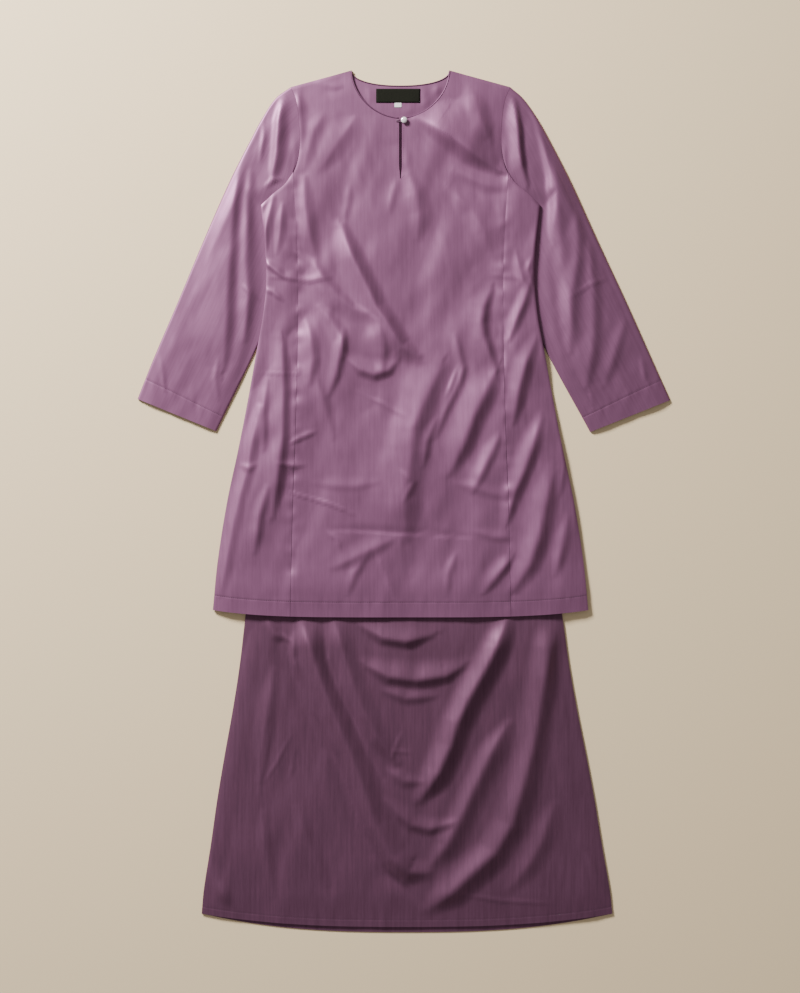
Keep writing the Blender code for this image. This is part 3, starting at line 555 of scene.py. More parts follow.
# The stitches' near-black colour is partly the thread's own and partly painted shade for the
# puckers along the stitch lines
STITCH_THREAD_AND_SHADE = PlainFinish("stitch_thread_and_shade", (0.035, 0.012, 0.025), 0.85, 0.15)
LABEL_TAPE = PlainFinish("charcoal_tape", (0.009, 0.0092, 0.006), 0.95, 0.35, 0.0, 1.0,
                         (350.0, 2600.0, 350.0), specular=0.12)
LABEL_BORDER = PlainFinish("charcoal_border", (0.016, 0.017, 0.012), 0.8, 0.35, 0.0, 1.0,
                           (2600.0, 500.0, 500.0), specular=0.15)
TAB_TAPE = PlainFinish("white_tape", (0.70, 0.69, 0.67), 0.7, 0.16, 0.0, 1.0,
                       (400.0, 2600.0, 400.0))


class WeaveGroup:
    """Shader node group that draws the satin's slubs and threads from the cloth's own map."""

    NAME = "satin_weave"

    def build(self) -> bpy.types.NodeTree:
        """Make the group once.

        Returns:
            The group, with a vector input and outputs for tone and relief.
        """
        group = bpy.data.node_groups.get(self.NAME)
        if group is not None:
            return group
        group = bpy.data.node_groups.new(self.NAME, "ShaderNodeTree")
        face = group.interface
        face.new_socket("Cloth", in_out="INPUT", socket_type="NodeSocketVector")
        face.new_socket("Tone", in_out="OUTPUT", socket_type="NodeSocketFloat")
        face.new_socket("Relief", in_out="OUTPUT", socket_type="NodeSocketFloat")
        nodes, links = group.nodes, group.links
        entry = nodes.new("NodeGroupInput")
        leave = nodes.new("NodeGroupOutput")
        slub = self._stretched(group, entry, (230.0, 11.0, 1.0), 3.0)
        yarn = self._stretched(group, entry, (1100.0, 70.0, 1.0), 2.0)
        patch = self._stretched(group, entry, (16.0, 9.0, 1.0), 2.0)
        mixed = self._sum(group, slub, 0.5, yarn, 0.28)
        tone = self._sum(group, mixed, 1.0, patch, 0.22)
        weft = self._stretched(group, entry, (90.0, 1300.0, 1.0), 1.0)
        relief = self._sum(group, yarn, 0.6, weft, 0.4)
        links.new(tone, leave.inputs["Tone"])
        links.new(relief, leave.inputs["Relief"])
        return group

    @staticmethod
    def _stretched(
        group: bpy.types.NodeTree,
        entry: bpy.types.Node,
        scale: tuple[float, float, float],
        detail: float,
    ) -> bpy.types.NodeSocket:
        """Noise drawn out along the cloth's length."""
        mapping = group.nodes.new("ShaderNodeMapping")
        mapping.inputs["Scale"].default_value = scale
        group.links.new(entry.outputs["Cloth"], mapping.inputs["Vector"])
        noise = group.nodes.new("ShaderNodeTexNoise")
        noise.inputs["Scale"].default_value = 1.0
        noise.inputs["Detail"].default_value = detail
        group.links.new(mapping.outputs["Vector"], noise.inputs["Vector"])
        return noise.outputs["Fac"]

    @staticmethod
    def _sum(
        group: bpy.types.NodeTree,
        first: bpy.types.NodeSocket,
        first_share: float,
        second: bpy.types.NodeSocket,
        second_share: float,
    ) -> bpy.types.NodeSocket:
        """Weighted sum of two values."""
        scaled = group.nodes.new("ShaderNodeMath")
        scaled.operation = "MULTIPLY"
        scaled.inputs[1].default_value = second_share
        group.links.new(second, scaled.inputs[0])
        added = group.nodes.new("ShaderNodeMath")
        added.operation = "MULTIPLY_ADD"
        added.inputs[1].default_value = first_share
        group.links.new(first, added.inputs[0])
        group.links.new(scaled.outputs[0], added.inputs[2])
        return added.outputs[0]


class Wardrobe:
    """Makes each finish's material once."""

    def __init__(self) -> None:
        """Start with no material made."""
        self.made: dict[str, bpy.types.Material] = {}

    def satin(self, finish: SatinFinish, mapped: bool = True) -> bpy.types.Material:
        """Satin material that reads the piece's Cloth map.

        Args:
            finish: Colours and gloss of the satin.
            mapped: False for a piece with no Cloth map, which is drawn by its own place.

        Returns:
            The material.
        """
        if finish.name in self.made:
            return self.made[finish.name]
        material = self._start(finish.name)
        nodes, links = material.node_tree.nodes, material.node_tree.links
        weave = nodes.new("ShaderNodeGroup")
        weave.node_tree = WeaveGroup().build()
        if mapped:
            cloth = nodes.new("ShaderNodeUVMap")
            cloth.uv_map = "Cloth"
            links.new(cloth.outputs["UV"], weave.inputs["Cloth"])
        else:
            place = nodes.new("ShaderNodeTexCoord")
            links.new(place.outputs["Object"], weave.inputs["Cloth"])
        self._colour(material, weave.outputs["Tone"], (0.36, finish.dark), (0.62, finish.light))
        gloss = nodes.new("ShaderNodeMapRange")
        gloss.inputs["To Min"].default_value = finish.roughness + 0.05
        gloss.inputs["To Max"].default_value = finish.roughness - 0.05
        links.new(weave.outputs["Tone"], gloss.inputs["Value"])
        links.new(gloss.outputs["Result"], nodes["Principled BSDF"].inputs["Roughness"])
        self._relief(material, weave.outputs["Relief"], 0.215, 0.00025)
        return self._set(material, {
            "Metallic": finish.metallic,
            "Specular IOR Level": finish.specular,
            "Specular Tint": (1.0, 0.72, 0.92, 1.0),
            "Sheen Weight": finish.sheen,
            "Sheen Roughness": 0.45,
            "Sheen Tint": (0.9, 0.6, 0.82, 1.0),
        })

    def plain(self, finish: PlainFinish) -> bpy.types.Material:
        """Material of a small trimming, with a fine grain on its own place.

        Args:
            finish: Colour, gloss and grain.

        Returns:
            The material.
        """
        if finish.name in self.made:
            return self.made[finish.name]
        material = self._start(finish.name)
        nodes, links = material.node_tree.nodes, material.node_tree.links
        place = nodes.new("ShaderNodeTexCoord")
        noise = nodes.new("ShaderNodeTexNoise")
        noise.inputs["Scale"].default_value = finish.grain_scale
        noise.inputs["Detail"].default_value = 2.0
        drawn_out = nodes.new("ShaderNodeMapping")
        drawn_out.inputs["Scale"].default_value = finish.stretch
        links.new(place.outputs["Object"], drawn_out.inputs["Vector"])
        links.new(drawn_out.outputs["Vector"], noise.inputs["Vector"])
        dark = tuple(channel * (1.0 - finish.grain) for channel in finish.colour)
        light = tuple(min(1.0, channel * (1.0 + finish.grain)) for channel in finish.colour)
        self._colour(material, noise.outputs["Fac"], (0.35, dark), (0.65, light))
        self._relief(material, noise.outputs["Fac"], 0.3, 0.0002)
        return self._set(material, {
            "Roughness": finish.roughness,
            "Coat Weight": finish.coat,
            "Specular IOR Level": finish.specular,
            "Metallic": finish.metallic,
        })

    @staticmethod
    def _colour(
        material: bpy.types.Material,
        value: bpy.types.NodeSocket,
        low: tuple[float, tuple[float, ...]],
        high: tuple[float, tuple[float, ...]],
    ) -> None:
        """Colour the material by a value, between two stops of place and colour."""
        nodes, links = material.node_tree.nodes, material.node_tree.links
        ramp = nodes.new("ShaderNodeValToRGB")
        for stop, (place, colour) in zip(ramp.color_ramp.elements, (low, high)):
            stop.position = place
            stop.color = (*colour, 1.0)
        links.new(value, ramp.inputs["Fac"])
        links.new(ramp.outputs["Color"], nodes["Principled BSDF"].inputs["Base Color"])

    @staticmethod
    def _relief(
        material: bpy.types.Material, value: bpy.types.NodeSocket, strength: float, depth: float
    ) -> None:
        """Raise the material's surface by a value."""
        nodes, links = material.node_tree.nodes, material.node_tree.links
        bump = nodes.new("ShaderNodeBump")
        bump.inputs["Strength"].default_value = strength
        bump.inputs["Distance"].default_value = depth
        links.new(value, bump.inputs["Height"])
        links.new(bump.outputs["Normal"], nodes["Principled BSDF"].inputs["Normal"])

    @staticmethod
    def _set(material: bpy.types.Material, constants: dict[str, object]) -> bpy.types.Material:
        """Set constant inputs of the material's shader."""
        shader = material.node_tree.nodes["Principled BSDF"]
        for name, value in constants.items():
            shader.inputs[name].default_value = value
        return material

    def _start(self, name: str) -> bpy.types.Material:
        """New material with its Principled shader."""
        material = bpy.data.materials.new(f"{name}_dressed")
        material.use_nodes = True
        self.made[name] = material
        return material


WARDROBE = Wardrobe()


@dataclass
class ClothPiece:
    """Thin shell of satin, shaped on a grid and sewn to its place in the set."""

    node: str
    finish: SatinFinish
    slot: str
    thickness: float = 1.0

    @property
    def name(self) -> str:
        """Name of the piece, after the node that it replaces."""
        return f"{self.node}_satin"

    def spread(
        self,
        grid: tuple[int, int],
        plan: Plan,
        height: Heights,
        left_out: Callable[[Array, Array], Array] | None = None,
    ) -> bpy.types.Object:
        """Lay a sheet of cloth.

        Args:
            grid: Columns and rows of the sheet's cells.
            plan: Gives x and down from shares across and along the sheet.
            height: Gives the upper face's height at each x and down.
            left_out: Marks the cells, by their middles' shares, that are cut away.

        Returns:
            The finished piece.
        """
        shape = bmesh.new()
        bmesh.ops.create_grid(shape, x_segments=grid[0], y_segments=grid[1], size=0.5)
        if left_out is not None:
            shape.faces.ensure_lookup_table()
            middles = np.array([face.calc_center_median()[:2] for face in shape.faces])
            marked = left_out(middles[:, 0] + 0.5, 0.5 - middles[:, 1])
            gone = [shape.faces[index] for index in np.flatnonzero(marked)]
            bmesh.ops.delete(shape, geom=gone, context="FACES")
        mesh = self._as_mesh(shape)
        flat = self._coordinates(mesh)
        x, down = plan(flat[:, 0] + 0.5, 0.5 - flat[:, 1])
        return self._finish(mesh, x, down, height(x, down), np.column_stack((x, down)))

    def _finish(
        self, mesh: bpy.types.Mesh, x: Array, down: Array, height: Array, cloth: Array
    ) -> bpy.types.Object:
        """Place the points, map the cloth and give the sheet its thickness."""
        mesh.vertices.foreach_set("co", FORM.points(x, down, height).ravel())
        layer = mesh.uv_layers.new(name="Cloth")
        corner = np.zeros(len(mesh.loops), dtype=np.int32)
        mesh.loops.foreach_get("vertex_index", corner)
        layer.data.foreach_set("uv", (cloth[corner] * MM).ravel())
        mesh.shade_smooth()
        mesh.update()
        piece = bpy.data.objects.new(self.name, mesh)
        bpy.context.scene.collection.objects.link(piece)
        mesh.materials.append(WARDROBE.satin(self.finish))
        wall = piece.modifiers.new("cloth", "SOLIDIFY")
        wall.thickness = self.thickness * MM
        wall.offset = -1.0
        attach(piece, "root")
        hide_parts(self.node)
        LOG.info("laid %s", self.name)
        return piece

    @staticmethod
    def _as_mesh(shape: bmesh.types.BMesh) -> bpy.types.Mesh:
        """Mesh of a finished bmesh, whose cut edges stay crisp."""
        for edge in shape.edges:
            edge.smooth = not edge.is_boundary
        mesh = bpy.data.meshes.new("cloth")
        shape.to_mesh(mesh)
        shape.free()
        return mesh

    @staticmethod
    def _coordinates(mesh: bpy.types.Mesh) -> Array:
        """Rows of the mesh's points."""
        flat = np.zeros(len(mesh.vertices) * 3)
        mesh.vertices.foreach_get("co", flat)
        return flat.reshape(-1, 3)


@dataclass
class TrimPiece:
    """Small trimming: a rolled edge, a thread, a run of stitches or a moulded part."""

    name: str
    material: bpy.types.Material
    slot: str
    nodes: tuple[str, ...] = ()

    def add(self, shape: bmesh.types.BMesh) -> bpy.types.Object:
        """Finish the trimming in its place.

        Args:
            shape: The trimming's shape, in metres.

        Returns:
            The finished piece.
        """
        mesh = bpy.data.meshes.new(self.name)
        shape.to_mesh(mesh)
        shape.free()
        mesh.shade_smooth()
        mesh.materials.append(self.material)
        piece = bpy.data.objects.new(self.name, mesh)
        bpy.context.scene.collection.objects.link(piece)
        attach(piece, "root")
        if self.nodes:
            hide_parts(*self.nodes)
        LOG.info("added %s", self.name)
        return piece


def thread_along(
    shape: bmesh.types.BMesh,
    route: list[Vector],
    radius: float,
    around: int = 10,
    flat: float = 1.0,
) -> None:
    """Add a round thread or rolled edge that follows a route.

    Args:
        shape: The shape that it is added to.
        route: Middle points in metres, from end to end.
        radius: Half width, in millimetres.
        around: Sides of the section.
        flat: Height of the section as a share of its width.
    """
    before = len(shape.verts)
    made = bmesh.ops.create_cone(
        shape, cap_ends=True, segments=around, radius1=1.0, radius2=1.0, depth=1.0
    )
    ring = made["verts"]
    joined = {edge for vertex in ring for edge in vertex.link_edges}
    upright = {e for e in joined if abs(e.verts[0].co.z - e.verts[1].co.z) > 0.5}
    bmesh.ops.subdivide_edges(shape, edges=list(upright), cuts=len(route) - 2)
    shape.verts.ensure_lookup_table()
    points = shape.verts[before:]
    for point in points:
        station = round((point.co.z + 0.5) * (len(route) - 1))
        ahead = route[min(station + 1, len(route) - 1)] - route[max(station - 1, 0)]
        across = Vector((-ahead.y, ahead.x, 0.0)).normalized()
        above = ahead.cross(across).normalized()
        offset = across * point.co.x + above * (point.co.y * flat)
        point.co = route[station] + offset * (radius * MM)


def sew(
    shape: bmesh.types.BMesh,
    line: Callable[[float], tuple[float, float]],
    length: float,
    surface: Heights,
    pitch: float = 3.2,
    stitch: float = 2.2,
    width: float = 0.95,
) -> None:
    """Add a run of machine stitches to a shape.

    Args:
        shape: The shape that the stitches are added to.
        line: Gives x and down from the share along the seam.
        length: Length of the seam.
        surface: Height of the cloth under the stitches.
        pitch: Distance from one stitch to the next.
        stitch: Length of a stitch.
        width: Thickness of the thread.
    """
    count = max(2, round(length / pitch))
    for number in range(count):
        here, ahead = line((number + 0.2) / count), line((number + 0.8) / count)
        x, down = (here[0] + ahead[0]) / 2.0, (here[1] + ahead[1]) / 2.0
        height = float(surface(np.array([x]), np.array([down]))[0])
        turn = math.atan2(-(ahead[1] - here[1]), ahead[0] - here[0])
        place = Matrix.Translation(FORM.point(x, down, height + 0.1 * width))
        size = Matrix.Diagonal((stitch / 2.0 * MM, width / 2.0 * MM, width / 2.6 * MM, 1.0))
        bmesh.ops.create_icosphere(
            shape, subdivisions=1, radius=1.0, matrix=place @ Matrix.Rotation(turn, 4, "Z") @ size
        )


def plan_area(piece: bpy.types.Object) -> float:
    """Flat area of a sheet's cut, measured on its plan without its folds.

    Args:
        piece: A laid sheet.

    Returns:
        Area in square metres.
    """
    mesh = piece.data.copy()
    flat = np.zeros(len(mesh.vertices) * 3)
    mesh.vertices.foreach_get("co", flat)
    flat[2::3] = 0.0
    mesh.vertices.foreach_set("co", flat)
    areas = np.zeros(len(mesh.polygons))
    mesh.polygons.foreach_get("area", areas)
    bpy.data.meshes.remove(mesh)
    return float(areas.sum())


@dataclass
class TunicBody:
    """Front and back of the tunic, each a centre panel with a panel on either side."""

    half_columns: int = 54
    slit_rows: int = 34
    lower_rows: int = 226
    slit_share: float = 0.1195
    slit_half: float = 2.6
    slit_tip_half: float = 0.9
    seam_gap: float = 0.28
    puff: float = 3.2
    strength: float = 1.25
    hem_band: float = 26.5
    noise: SoftNoise = field(default_factory=lambda: SoftNoise(11))

    def front_height(self, x: Array, down: Array) -> Array:
        """Upper face of the front, with its creases, seams and hem.

        Args:
            x: Distances from the centre line.
            down: Heights on the garment.

        Returns:
            Heights above the table.
        """
        edge = FORM.tunic_edge(down) - np.abs(x)
        top = down - FORM.shoulder_down(x)
        cloth = self.puff + self.strength * creased(TUNIC_CREASES, x, down)
        cloth += self._unevenness(x, down)
        cloth = np.maximum(0.9, cloth)
        kept = 0.75 * (1.0 - fade(down, 220.0, 236.0))
        crisp = 0.8 - 0.35 * fade(down, 420.0, 520.0)
        settled = crisp * rounded(edge, 6.0) + (1.0 - crisp) * fade(edge, 0.0, 45.0)
        cloth *= kept + (1.0 - kept) * settled
        cloth *= 0.35 * rounded(top, 6.0) + 0.65 * fade(top, 0.0, 45.0)
        cloth *= 1.0 - 0.55 * fade(down, 860.0, 950.0)
        lift = np.maximum(cloth, FORM.neck_lift(x, down))
        return FORM.back_top(x, down) + FORM.gap + lift + FORM.wall + self._sewn(x, down)

    def back_height(self, x: Array, down: Array) -> Array:
        """Upper face of the back, which is seen only inside the neck."""
        inside = fade(-FORM.neck_reach(x, down), 2.0, 14.0) * fade(down, 20.0, 34.0)
        waves = 0.5 + creased(NECK_BACK_CREASES, x, down)
        waves += 0.4 * self.noise.at(x / 17.0, down / 31.0)
        return FORM.back_top(x, down) + inside * waves

    def _unevenness(self, x: Array, down: Array) -> Array:
        """Broad, middle and small waves of cloth that was never quite flat."""
        broad = 2.4 * self.noise.at((x + 0.2 * down) / 50.0 + 3.0, down / 115.0)
        middle = 1.25 * self.noise.at(
            (0.9 * x + 0.35 * down) / 25.0 + 31.0, (0.9 * down - 0.35 * x) / 60.0
        )
        small = self.noise.at(
            (0.95 * x - 0.28 * down) / 11.0, (0.95 * down + 0.28 * x) / 24.0 + 50.0
        )
        return broad + middle + 0.32 * small

    def _sewn(self, x: Array, down: Array) -> Array:
        """Relief of the panel seams and the hem: grooves with small puckers."""
        seam = np.abs(np.abs(x) - FORM.panel_seam.at(down))
        below = fade(down, FORM.seam_top - 4.0, FORM.seam_top + 6.0)
        groove = -0.12 * np.exp(-((seam / 2.2) ** 2)) * below
        pucker = 1.8 * self.noise.at(np.sign(x) * 7.3 + x / 30.0, down / 15.0)
        pucker *= np.exp(-seam / 8.0) * below
        rise = FORM.hem_down(x) - down
        line = np.abs(rise - self.hem_band)
        hem = -0.22 * np.exp(-((line / 1.3) ** 2))
        hem += 0.5 * self.noise.at(x / 8.0 + 40.0, rise / 60.0) * np.exp(-line / 12.0)
        return groove + pucker + hem

    def front_centre_plan(self, across: Array, along: Array) -> Pair:
        """Places on the front centre panel, whose middle column is the slit."""
        total = 2 * self.half_columns + 1
        column = np.round(across * total)
        left = column <= self.half_columns
        step = np.where(left, self.half_columns - column, column - self.half_columns - 1)
        share = self._row_share(along)
        neck_steps = self.half_columns // 2
        start = math.asin(self.slit_half / FORM.neck_half)
        turn = start + (math.pi / 2.0 - start) * np.minimum(step / neck_steps, 1.0)
        rest = np.maximum(step - neck_steps, 0.0) / (self.half_columns - neck_steps)
        top_x = FORM.neck_half * np.sin(turn) + (FORM.shoulder_half - FORM.neck_half) * rest
        edge_down = FORM.shoulder_drop + share * (FORM.hem_corner - FORM.shoulder_drop)
        edge = FORM.centre_edge(edge_down)
        even = crowded((step + 0.5) / (self.half_columns + 0.5), (1.0, 0.06, 1.6))
        x = self._settled(top_x, rest, even, edge, share)
        open_half = self.slit_half - (self.slit_half - self.slit_tip_half) * fade(
            share, self.slit_share - 0.03, self.slit_share
        )
        x = np.where((step == 0) & (share <= self.slit_share + 1e-6), open_half, x)
        neck = FORM.neck_down(top_x, FORM.front_neck_depth, FORM.front_neck_power)
        first = np.where(step <= neck_steps, neck, FORM.shoulder_down(top_x))
        down = first + (FORM.hem_down(x) - first) * share
        return np.where(left, -x, x), down

    @staticmethod
    def _settled(
        top_x: Array, rest: Array, even: Array, edge: Array, share: Array
    ) -> Array:
        """Columns that leave the neck upright and settle to even widths lower down.

        Args:
            top_x: Distance out of each column at the neck or shoulder.
            rest: Share of the way along the shoulder, 0 at the neck.
            even: Share of the panel's half width that the column settles to.
            edge: Half width of the panel.
            share: Share of the way down the panel.

        Returns:
            Distances out from the centre line.
        """
        upright = top_x - (FORM.shoulder_half - edge) * rest
        return upright + (even * edge - upright) * fade(share, 0.03, 0.26)

    def _row_share(self, along: Array) -> Array:
        """Share of the way from shoulder to hem, with one row at the slit's foot."""
        rows = self.slit_rows + self.lower_rows
        row = along * rows
        above = row / self.slit_rows * self.slit_share
        below = crowded((row - self.slit_rows) / self.lower_rows, (0.9654, 0.014, 3.0))
        below = self.slit_share + below * (1.0 - self.slit_share)
        return np.where(row <= self.slit_rows, above, below)

    def _slit_cells(self, across: Array, along: Array) -> Array:
        """Cells of the slit."""
        total = 2 * self.half_columns + 1
        rows = self.slit_rows + self.lower_rows
        return (np.abs(across - 0.5) * total < 0.4) & (along * rows < self.slit_rows)

    def back_centre_plan(self, across: Array, along: Array) -> Pair:
        """Places on the back centre panel."""
        step = np.abs(2.0 * across - 1.0)
        top_x = np.where(
            step <= 0.5,
            FORM.neck_half * np.sin(math.pi * np.minimum(step, 0.5)),
            FORM.neck_half + (FORM.shoulder_half - FORM.neck_half) * (2.0 * step - 1.0),
        )
        neck = FORM.neck_down(top_x, FORM.back_neck_depth, FORM.back_neck_power)
        first = np.where(step <= 0.5, neck, FORM.shoulder_down(top_x))
        edge_down = FORM.shoulder_drop + along * (FORM.hem_corner - FORM.shoulder_drop)
        edge = FORM.centre_edge(edge_down)
        x = self._settled(top_x, np.maximum(2.0 * step - 1.0, 0.0), step, edge, along)
        down = first + (FORM.hem_down(x) - first) * along
        return np.sign(across - 0.5) * x, down

    def side_plan(self, side: Side) -> Plan:
        """Places on a side panel, from the panel seam out to the side seam."""

        def plan(across: Array, along: Array) -> Pair:
            along = crowded(along, (0.9643, 0.016, 3.0))
            part = crowded(across, (0.0, 0.12, 1.2), (1.0, 0.12, 2.5))
            top_inner = FORM.armhole.at(FORM.seam_top)
            armhole_x = top_inner + part * (FORM.tunic_side.out[0] - top_inner)
            stations = np.linspace(FORM.seam_top, FORM.armpit, 60)
            top = np.interp(armhole_x, FORM.armhole.at(stations), stations)
            foot = FORM.hem_down(FORM.panel_seam.out[-1])
            inner = FORM.panel_seam.at(FORM.seam_top + (foot - FORM.seam_top) * along)
            inner = inner + self.seam_gap
            outer = FORM.tunic_side.at(FORM.armpit + (FORM.hem_corner - FORM.armpit) * along)
            x = inner + part * (outer - inner)
            return side.sign * x, top + (FORM.hem_down(x) - top) * along

        return plan

    def build(self) -> None:
        """Lay the back, then the front over it, and work out each panel's flat area."""
        back = ClothPiece("tunic_back_centre", TUNIC_SATIN, "tunic_satin")
        laid = back.spread((80, 200), self.back_centre_plan, self.back_height)
        plan_area(laid)
        front = ClothPiece("tunic_front_centre", TUNIC_SATIN, "tunic_satin")
        grid = (2 * self.half_columns + 1, self.slit_rows + self.lower_rows)
        laid = front.spread(grid, self.front_centre_plan, self.front_height, self._slit_cells)
        plan_area(laid)
        for side in Side:
            plan = self.side_plan(side)
            for face, height, grid in (
                ("back", FORM.back_top, (18, 90)),
                ("front", self.front_height, (44, 220)),
            ):
                node = f"tunic_{face}_side_{side.value}"
                piece = ClothPiece(node, TUNIC_SATIN, "tunic_satin")
                laid = piece.spread(grid, plan, height)
                if side is Side.RIGHT:
                    laid.data.flip_normals()
                plan_area(laid)


@dataclass
class Sleeve:
    """Set-in sleeve, flattened to a tube, with its inner edge under the tunic's side."""

    side: Side
    outer: Outline
    inner: Outline
    layer_columns: int = 62
    rows: int = 150
    nose: float = 3.0
    puff: float = 2.8
    hem_band: float = 29.5
    noise: SoftNoise = field(default_factory=lambda: SoftNoise(23))

    def _armhole_line(self) -> Pair:
        """Points of the armhole edge, set off from the panels, and their shares of its length."""
        down = np.linspace(FORM.shoulder_drop, FORM.armpit, 80)
        slope = (FORM.armhole.at(down + 1.0) - FORM.armhole.at(down - 1.0)) / 2.0
        size = np.hypot(1.0, slope)
        gap = FORM.gap + 0.05
        line = np.column_stack((FORM.armhole.at(down) + gap / size, down - gap * slope / size))
        run = np.concatenate([[0.0], np.cumsum(np.hypot(*np.diff(line, axis=0).T))])
        return line, run / run[-1]

    def plan(self, across: Array, along: Array) -> Pair:
        """Places on one layer, from the outer folded edge to the inner one.

        Args:
            across: Shares of the way from the outer edge to the inner one.
            along: Shares of the way from the armhole to the cuff.

        Returns:
            x, always positive, and down.
        """
        line, shares = self._armhole_line()
        cuff_out = np.array([self.outer.out[-1], self.outer.down[-1]])
        cuff_in = np.array([self.inner.out[-1], self.inner.down[-1]])
        outer_down = line[0, 1] + (cuff_out[1] - line[0, 1]) * along
        inner_down = line[-1, 1] + (cuff_in[1] - line[-1, 1]) * along
        spare = 1.0 - along
        out_shift, in_shift = line[0, 0] - self.outer.out[0], line[-1, 0] - self.inner.out[0]
        edge_out = (self.outer.at(outer_down) + out_shift * spare, outer_down)
        edge_in = (self.inner.at(inner_down) + in_shift * spare, inner_down)
        places = []
        for axis in (0, 1):
            top = np.interp(across, shares, line[:, axis])
            foot = cuff_out[axis] + (cuff_in[axis] - cuff_out[axis]) * across
            sides = (1.0 - across) * edge_out[axis] + across * edge_in[axis]
            flat_top = (1.0 - across) * line[0, axis] + across * line[-1, axis]
            places.append(spare * top + along * foot + sides - spare * flat_top - along * foot)
        return places[0], places[1]

    def _spacing(self, step: Array) -> Array:
        """Shares across a layer, close together at its two folded edges."""
        share = step / self.layer_columns
        return 0.25 * share + 0.75 * (0.5 - 0.5 * np.cos(math.pi * share))

    def _lift(
        self, x: Array, down: Array, along: Array, from_out: Array, from_in: Array
    ) -> Array:
        """Stand-off of the upper layer over a flattened tube."""
        signed = self.side.sign * x
        cloth = self.puff + creased(SLEEVE_CREASES[self.side], signed, down)
        waves = 0.9 * self.noise.at((x - 0.45 * down) / 24.0, down / 60.0)
        cloth += waves + 0.3 * self.noise.at(x / 11.0, down / 22.0)
        cloth = np.maximum(0.8, cloth)
        length = 460.0
        for distance in (from_out, from_in):
            cloth *= 0.3 * rounded(distance, 7.0) + 0.7 * fade(distance, 0.0, 26.0)
        cloth *= 0.75 + 0.25 * fade(along * length, 0.0, 10.0)
        clear = fade(x - FORM.tunic_side.at(down), 4.0, 30.0)
        open_above = 1.0 - fade(down, 205.0, 240.0)
        cloth *= np.maximum(np.maximum(clear, open_above), fade(down, 505.0, 550.0))
        rise = (1.0 - along) * length
        line = np.abs(rise - self.hem_band)
        cloth -= 0.25 * np.exp(-((line / 1.4) ** 2)) * fade(x - FORM.tunic_side.at(down), 0.0, 10.0)
        cloth += 0.5 * self.noise.at(x / 7.0, rise / 50.0) * np.exp(-line / 11.0)
        return cloth

    def upper_height(self, across: float, along: float) -> tuple[float, float, float]:
        """Place on the upper layer.

        Args:
            across: Share of the way from the outer fold to the inner one.
            along: Share of the way from the armhole to the cuff.

        Returns:
            x, down and height.
        """
        shares = np.array([across, 0.0, 1.0])
        x, down = self.plan(shares, np.full(3, along))
        from_out = np.hypot(x - x[1], down - down[1])
        from_in = np.hypot(x - x[2], down - down[2])
        half = FORM.tube / 2.0
        bend = half * rounded(np.minimum(from_out, from_in), self.nose)
        lift = self._lift(x, down, np.full(3, along), from_out, from_in)
        height = half + bend + lift * (bend / half)
        return self.side.sign * float(x[0]), float(down[0]), float(height[0])

    def sew_cuff(self, thread: bpy.types.Material) -> None:
        """Stitch the cuff's hem on the upper layer.

        Args:
            thread: Material of the stitches.
        """
        shape = bmesh.new()
        along = 1.0 - self.hem_band / 460.0
        count = 56
        for number in range(count):
            here = self.upper_height(0.02 + 0.96 * number / count, along)
            ahead = self.upper_height(0.02 + 0.96 * (number + 0.7) / count, along)
            middle = [(a + b) / 2.0 for a, b in zip(here, ahead)]
            turn = math.atan2(-(ahead[1] - here[1]), ahead[0] - here[0])
            place = Matrix.Translation(FORM.point(middle[0], middle[1], middle[2] + 0.05))
            size = Matrix.Diagonal((0.95 * MM, 0.3 * MM, 0.24 * MM, 1.0))
            bmesh.ops.create_icosphere(shape, subdivisions=1, radius=1.0,
                                       matrix=place @ Matrix.Rotation(turn, 4, "Z") @ size)
        TrimPiece(f"cuff_stitches_{self.side.value}", thread, "thread").add(shape)

    def build(self) -> None:
        """Wrap the flattened tube and work out its flat area."""
        around = 2 * self.layer_columns
        shape = bmesh.new()
        bmesh.ops.create_cone(
            shape, cap_ends=False, segments=around, radius1=1.0, radius2=1.0, depth=1.0
        )
        upright = [e for e in shape.edges if abs(e.verts[0].co.z - e.verts[1].co.z) > 0.5]
        bmesh.ops.subdivide_edges(shape, edges=upright, cuts=self.rows - 1)
        node = f"sleeve_{self.side.value}"
        piece = ClothPiece(node, SLEEVE_SATIN[self.side], "tunic_satin", thickness=0.9)
        mesh = piece._as_mesh(shape)
        flat = piece._coordinates(mesh)
        turn = np.round(np.arctan2(flat[:, 1], flat[:, 0]) / (2.0 * math.pi) * around) % around
        along = crowded(np.round((flat[:, 2] + 0.5) * self.rows) / self.rows, (0.936, 0.02, 2.5))
        upper = turn < self.layer_columns
        step = np.where(upper, turn, around - turn)
        across = self._spacing(step)
        x, down = self.plan(across, along)
        first = np.column_stack(self.plan(np.zeros_like(across), along))
        last = np.column_stack(self.plan(np.ones_like(across), along))
        here = np.column_stack((x, down))
        from_out = np.hypot(*(here - first).T)
        from_in = np.hypot(*(here - last).T)
        half = FORM.tube / 2.0
        bend = half * rounded(np.minimum(from_out, from_in), self.nose)
        lift = self._lift(x, down, along, from_out, from_in)
        height = np.where(upper, half + bend + lift * (bend / half), half - bend)
        width = np.hypot(*(first - last).T)
        cloth = np.column_stack((np.where(upper, across, 2.0 - across) * width, along * 460.0))
        laid = piece._finish(mesh, self.side.sign * x, down, height, cloth)
        shell = bmesh.new()
        shell.from_mesh(laid.data)
        volume_up = sum(face.normal.z * face.calc_area() for face in shell.faces
                        if face.calc_center_median().z > half * MM * 1.1)
        shell.free()
        if volume_up < 0.0:
            laid.data.flip_normals()
        plan_area(laid)


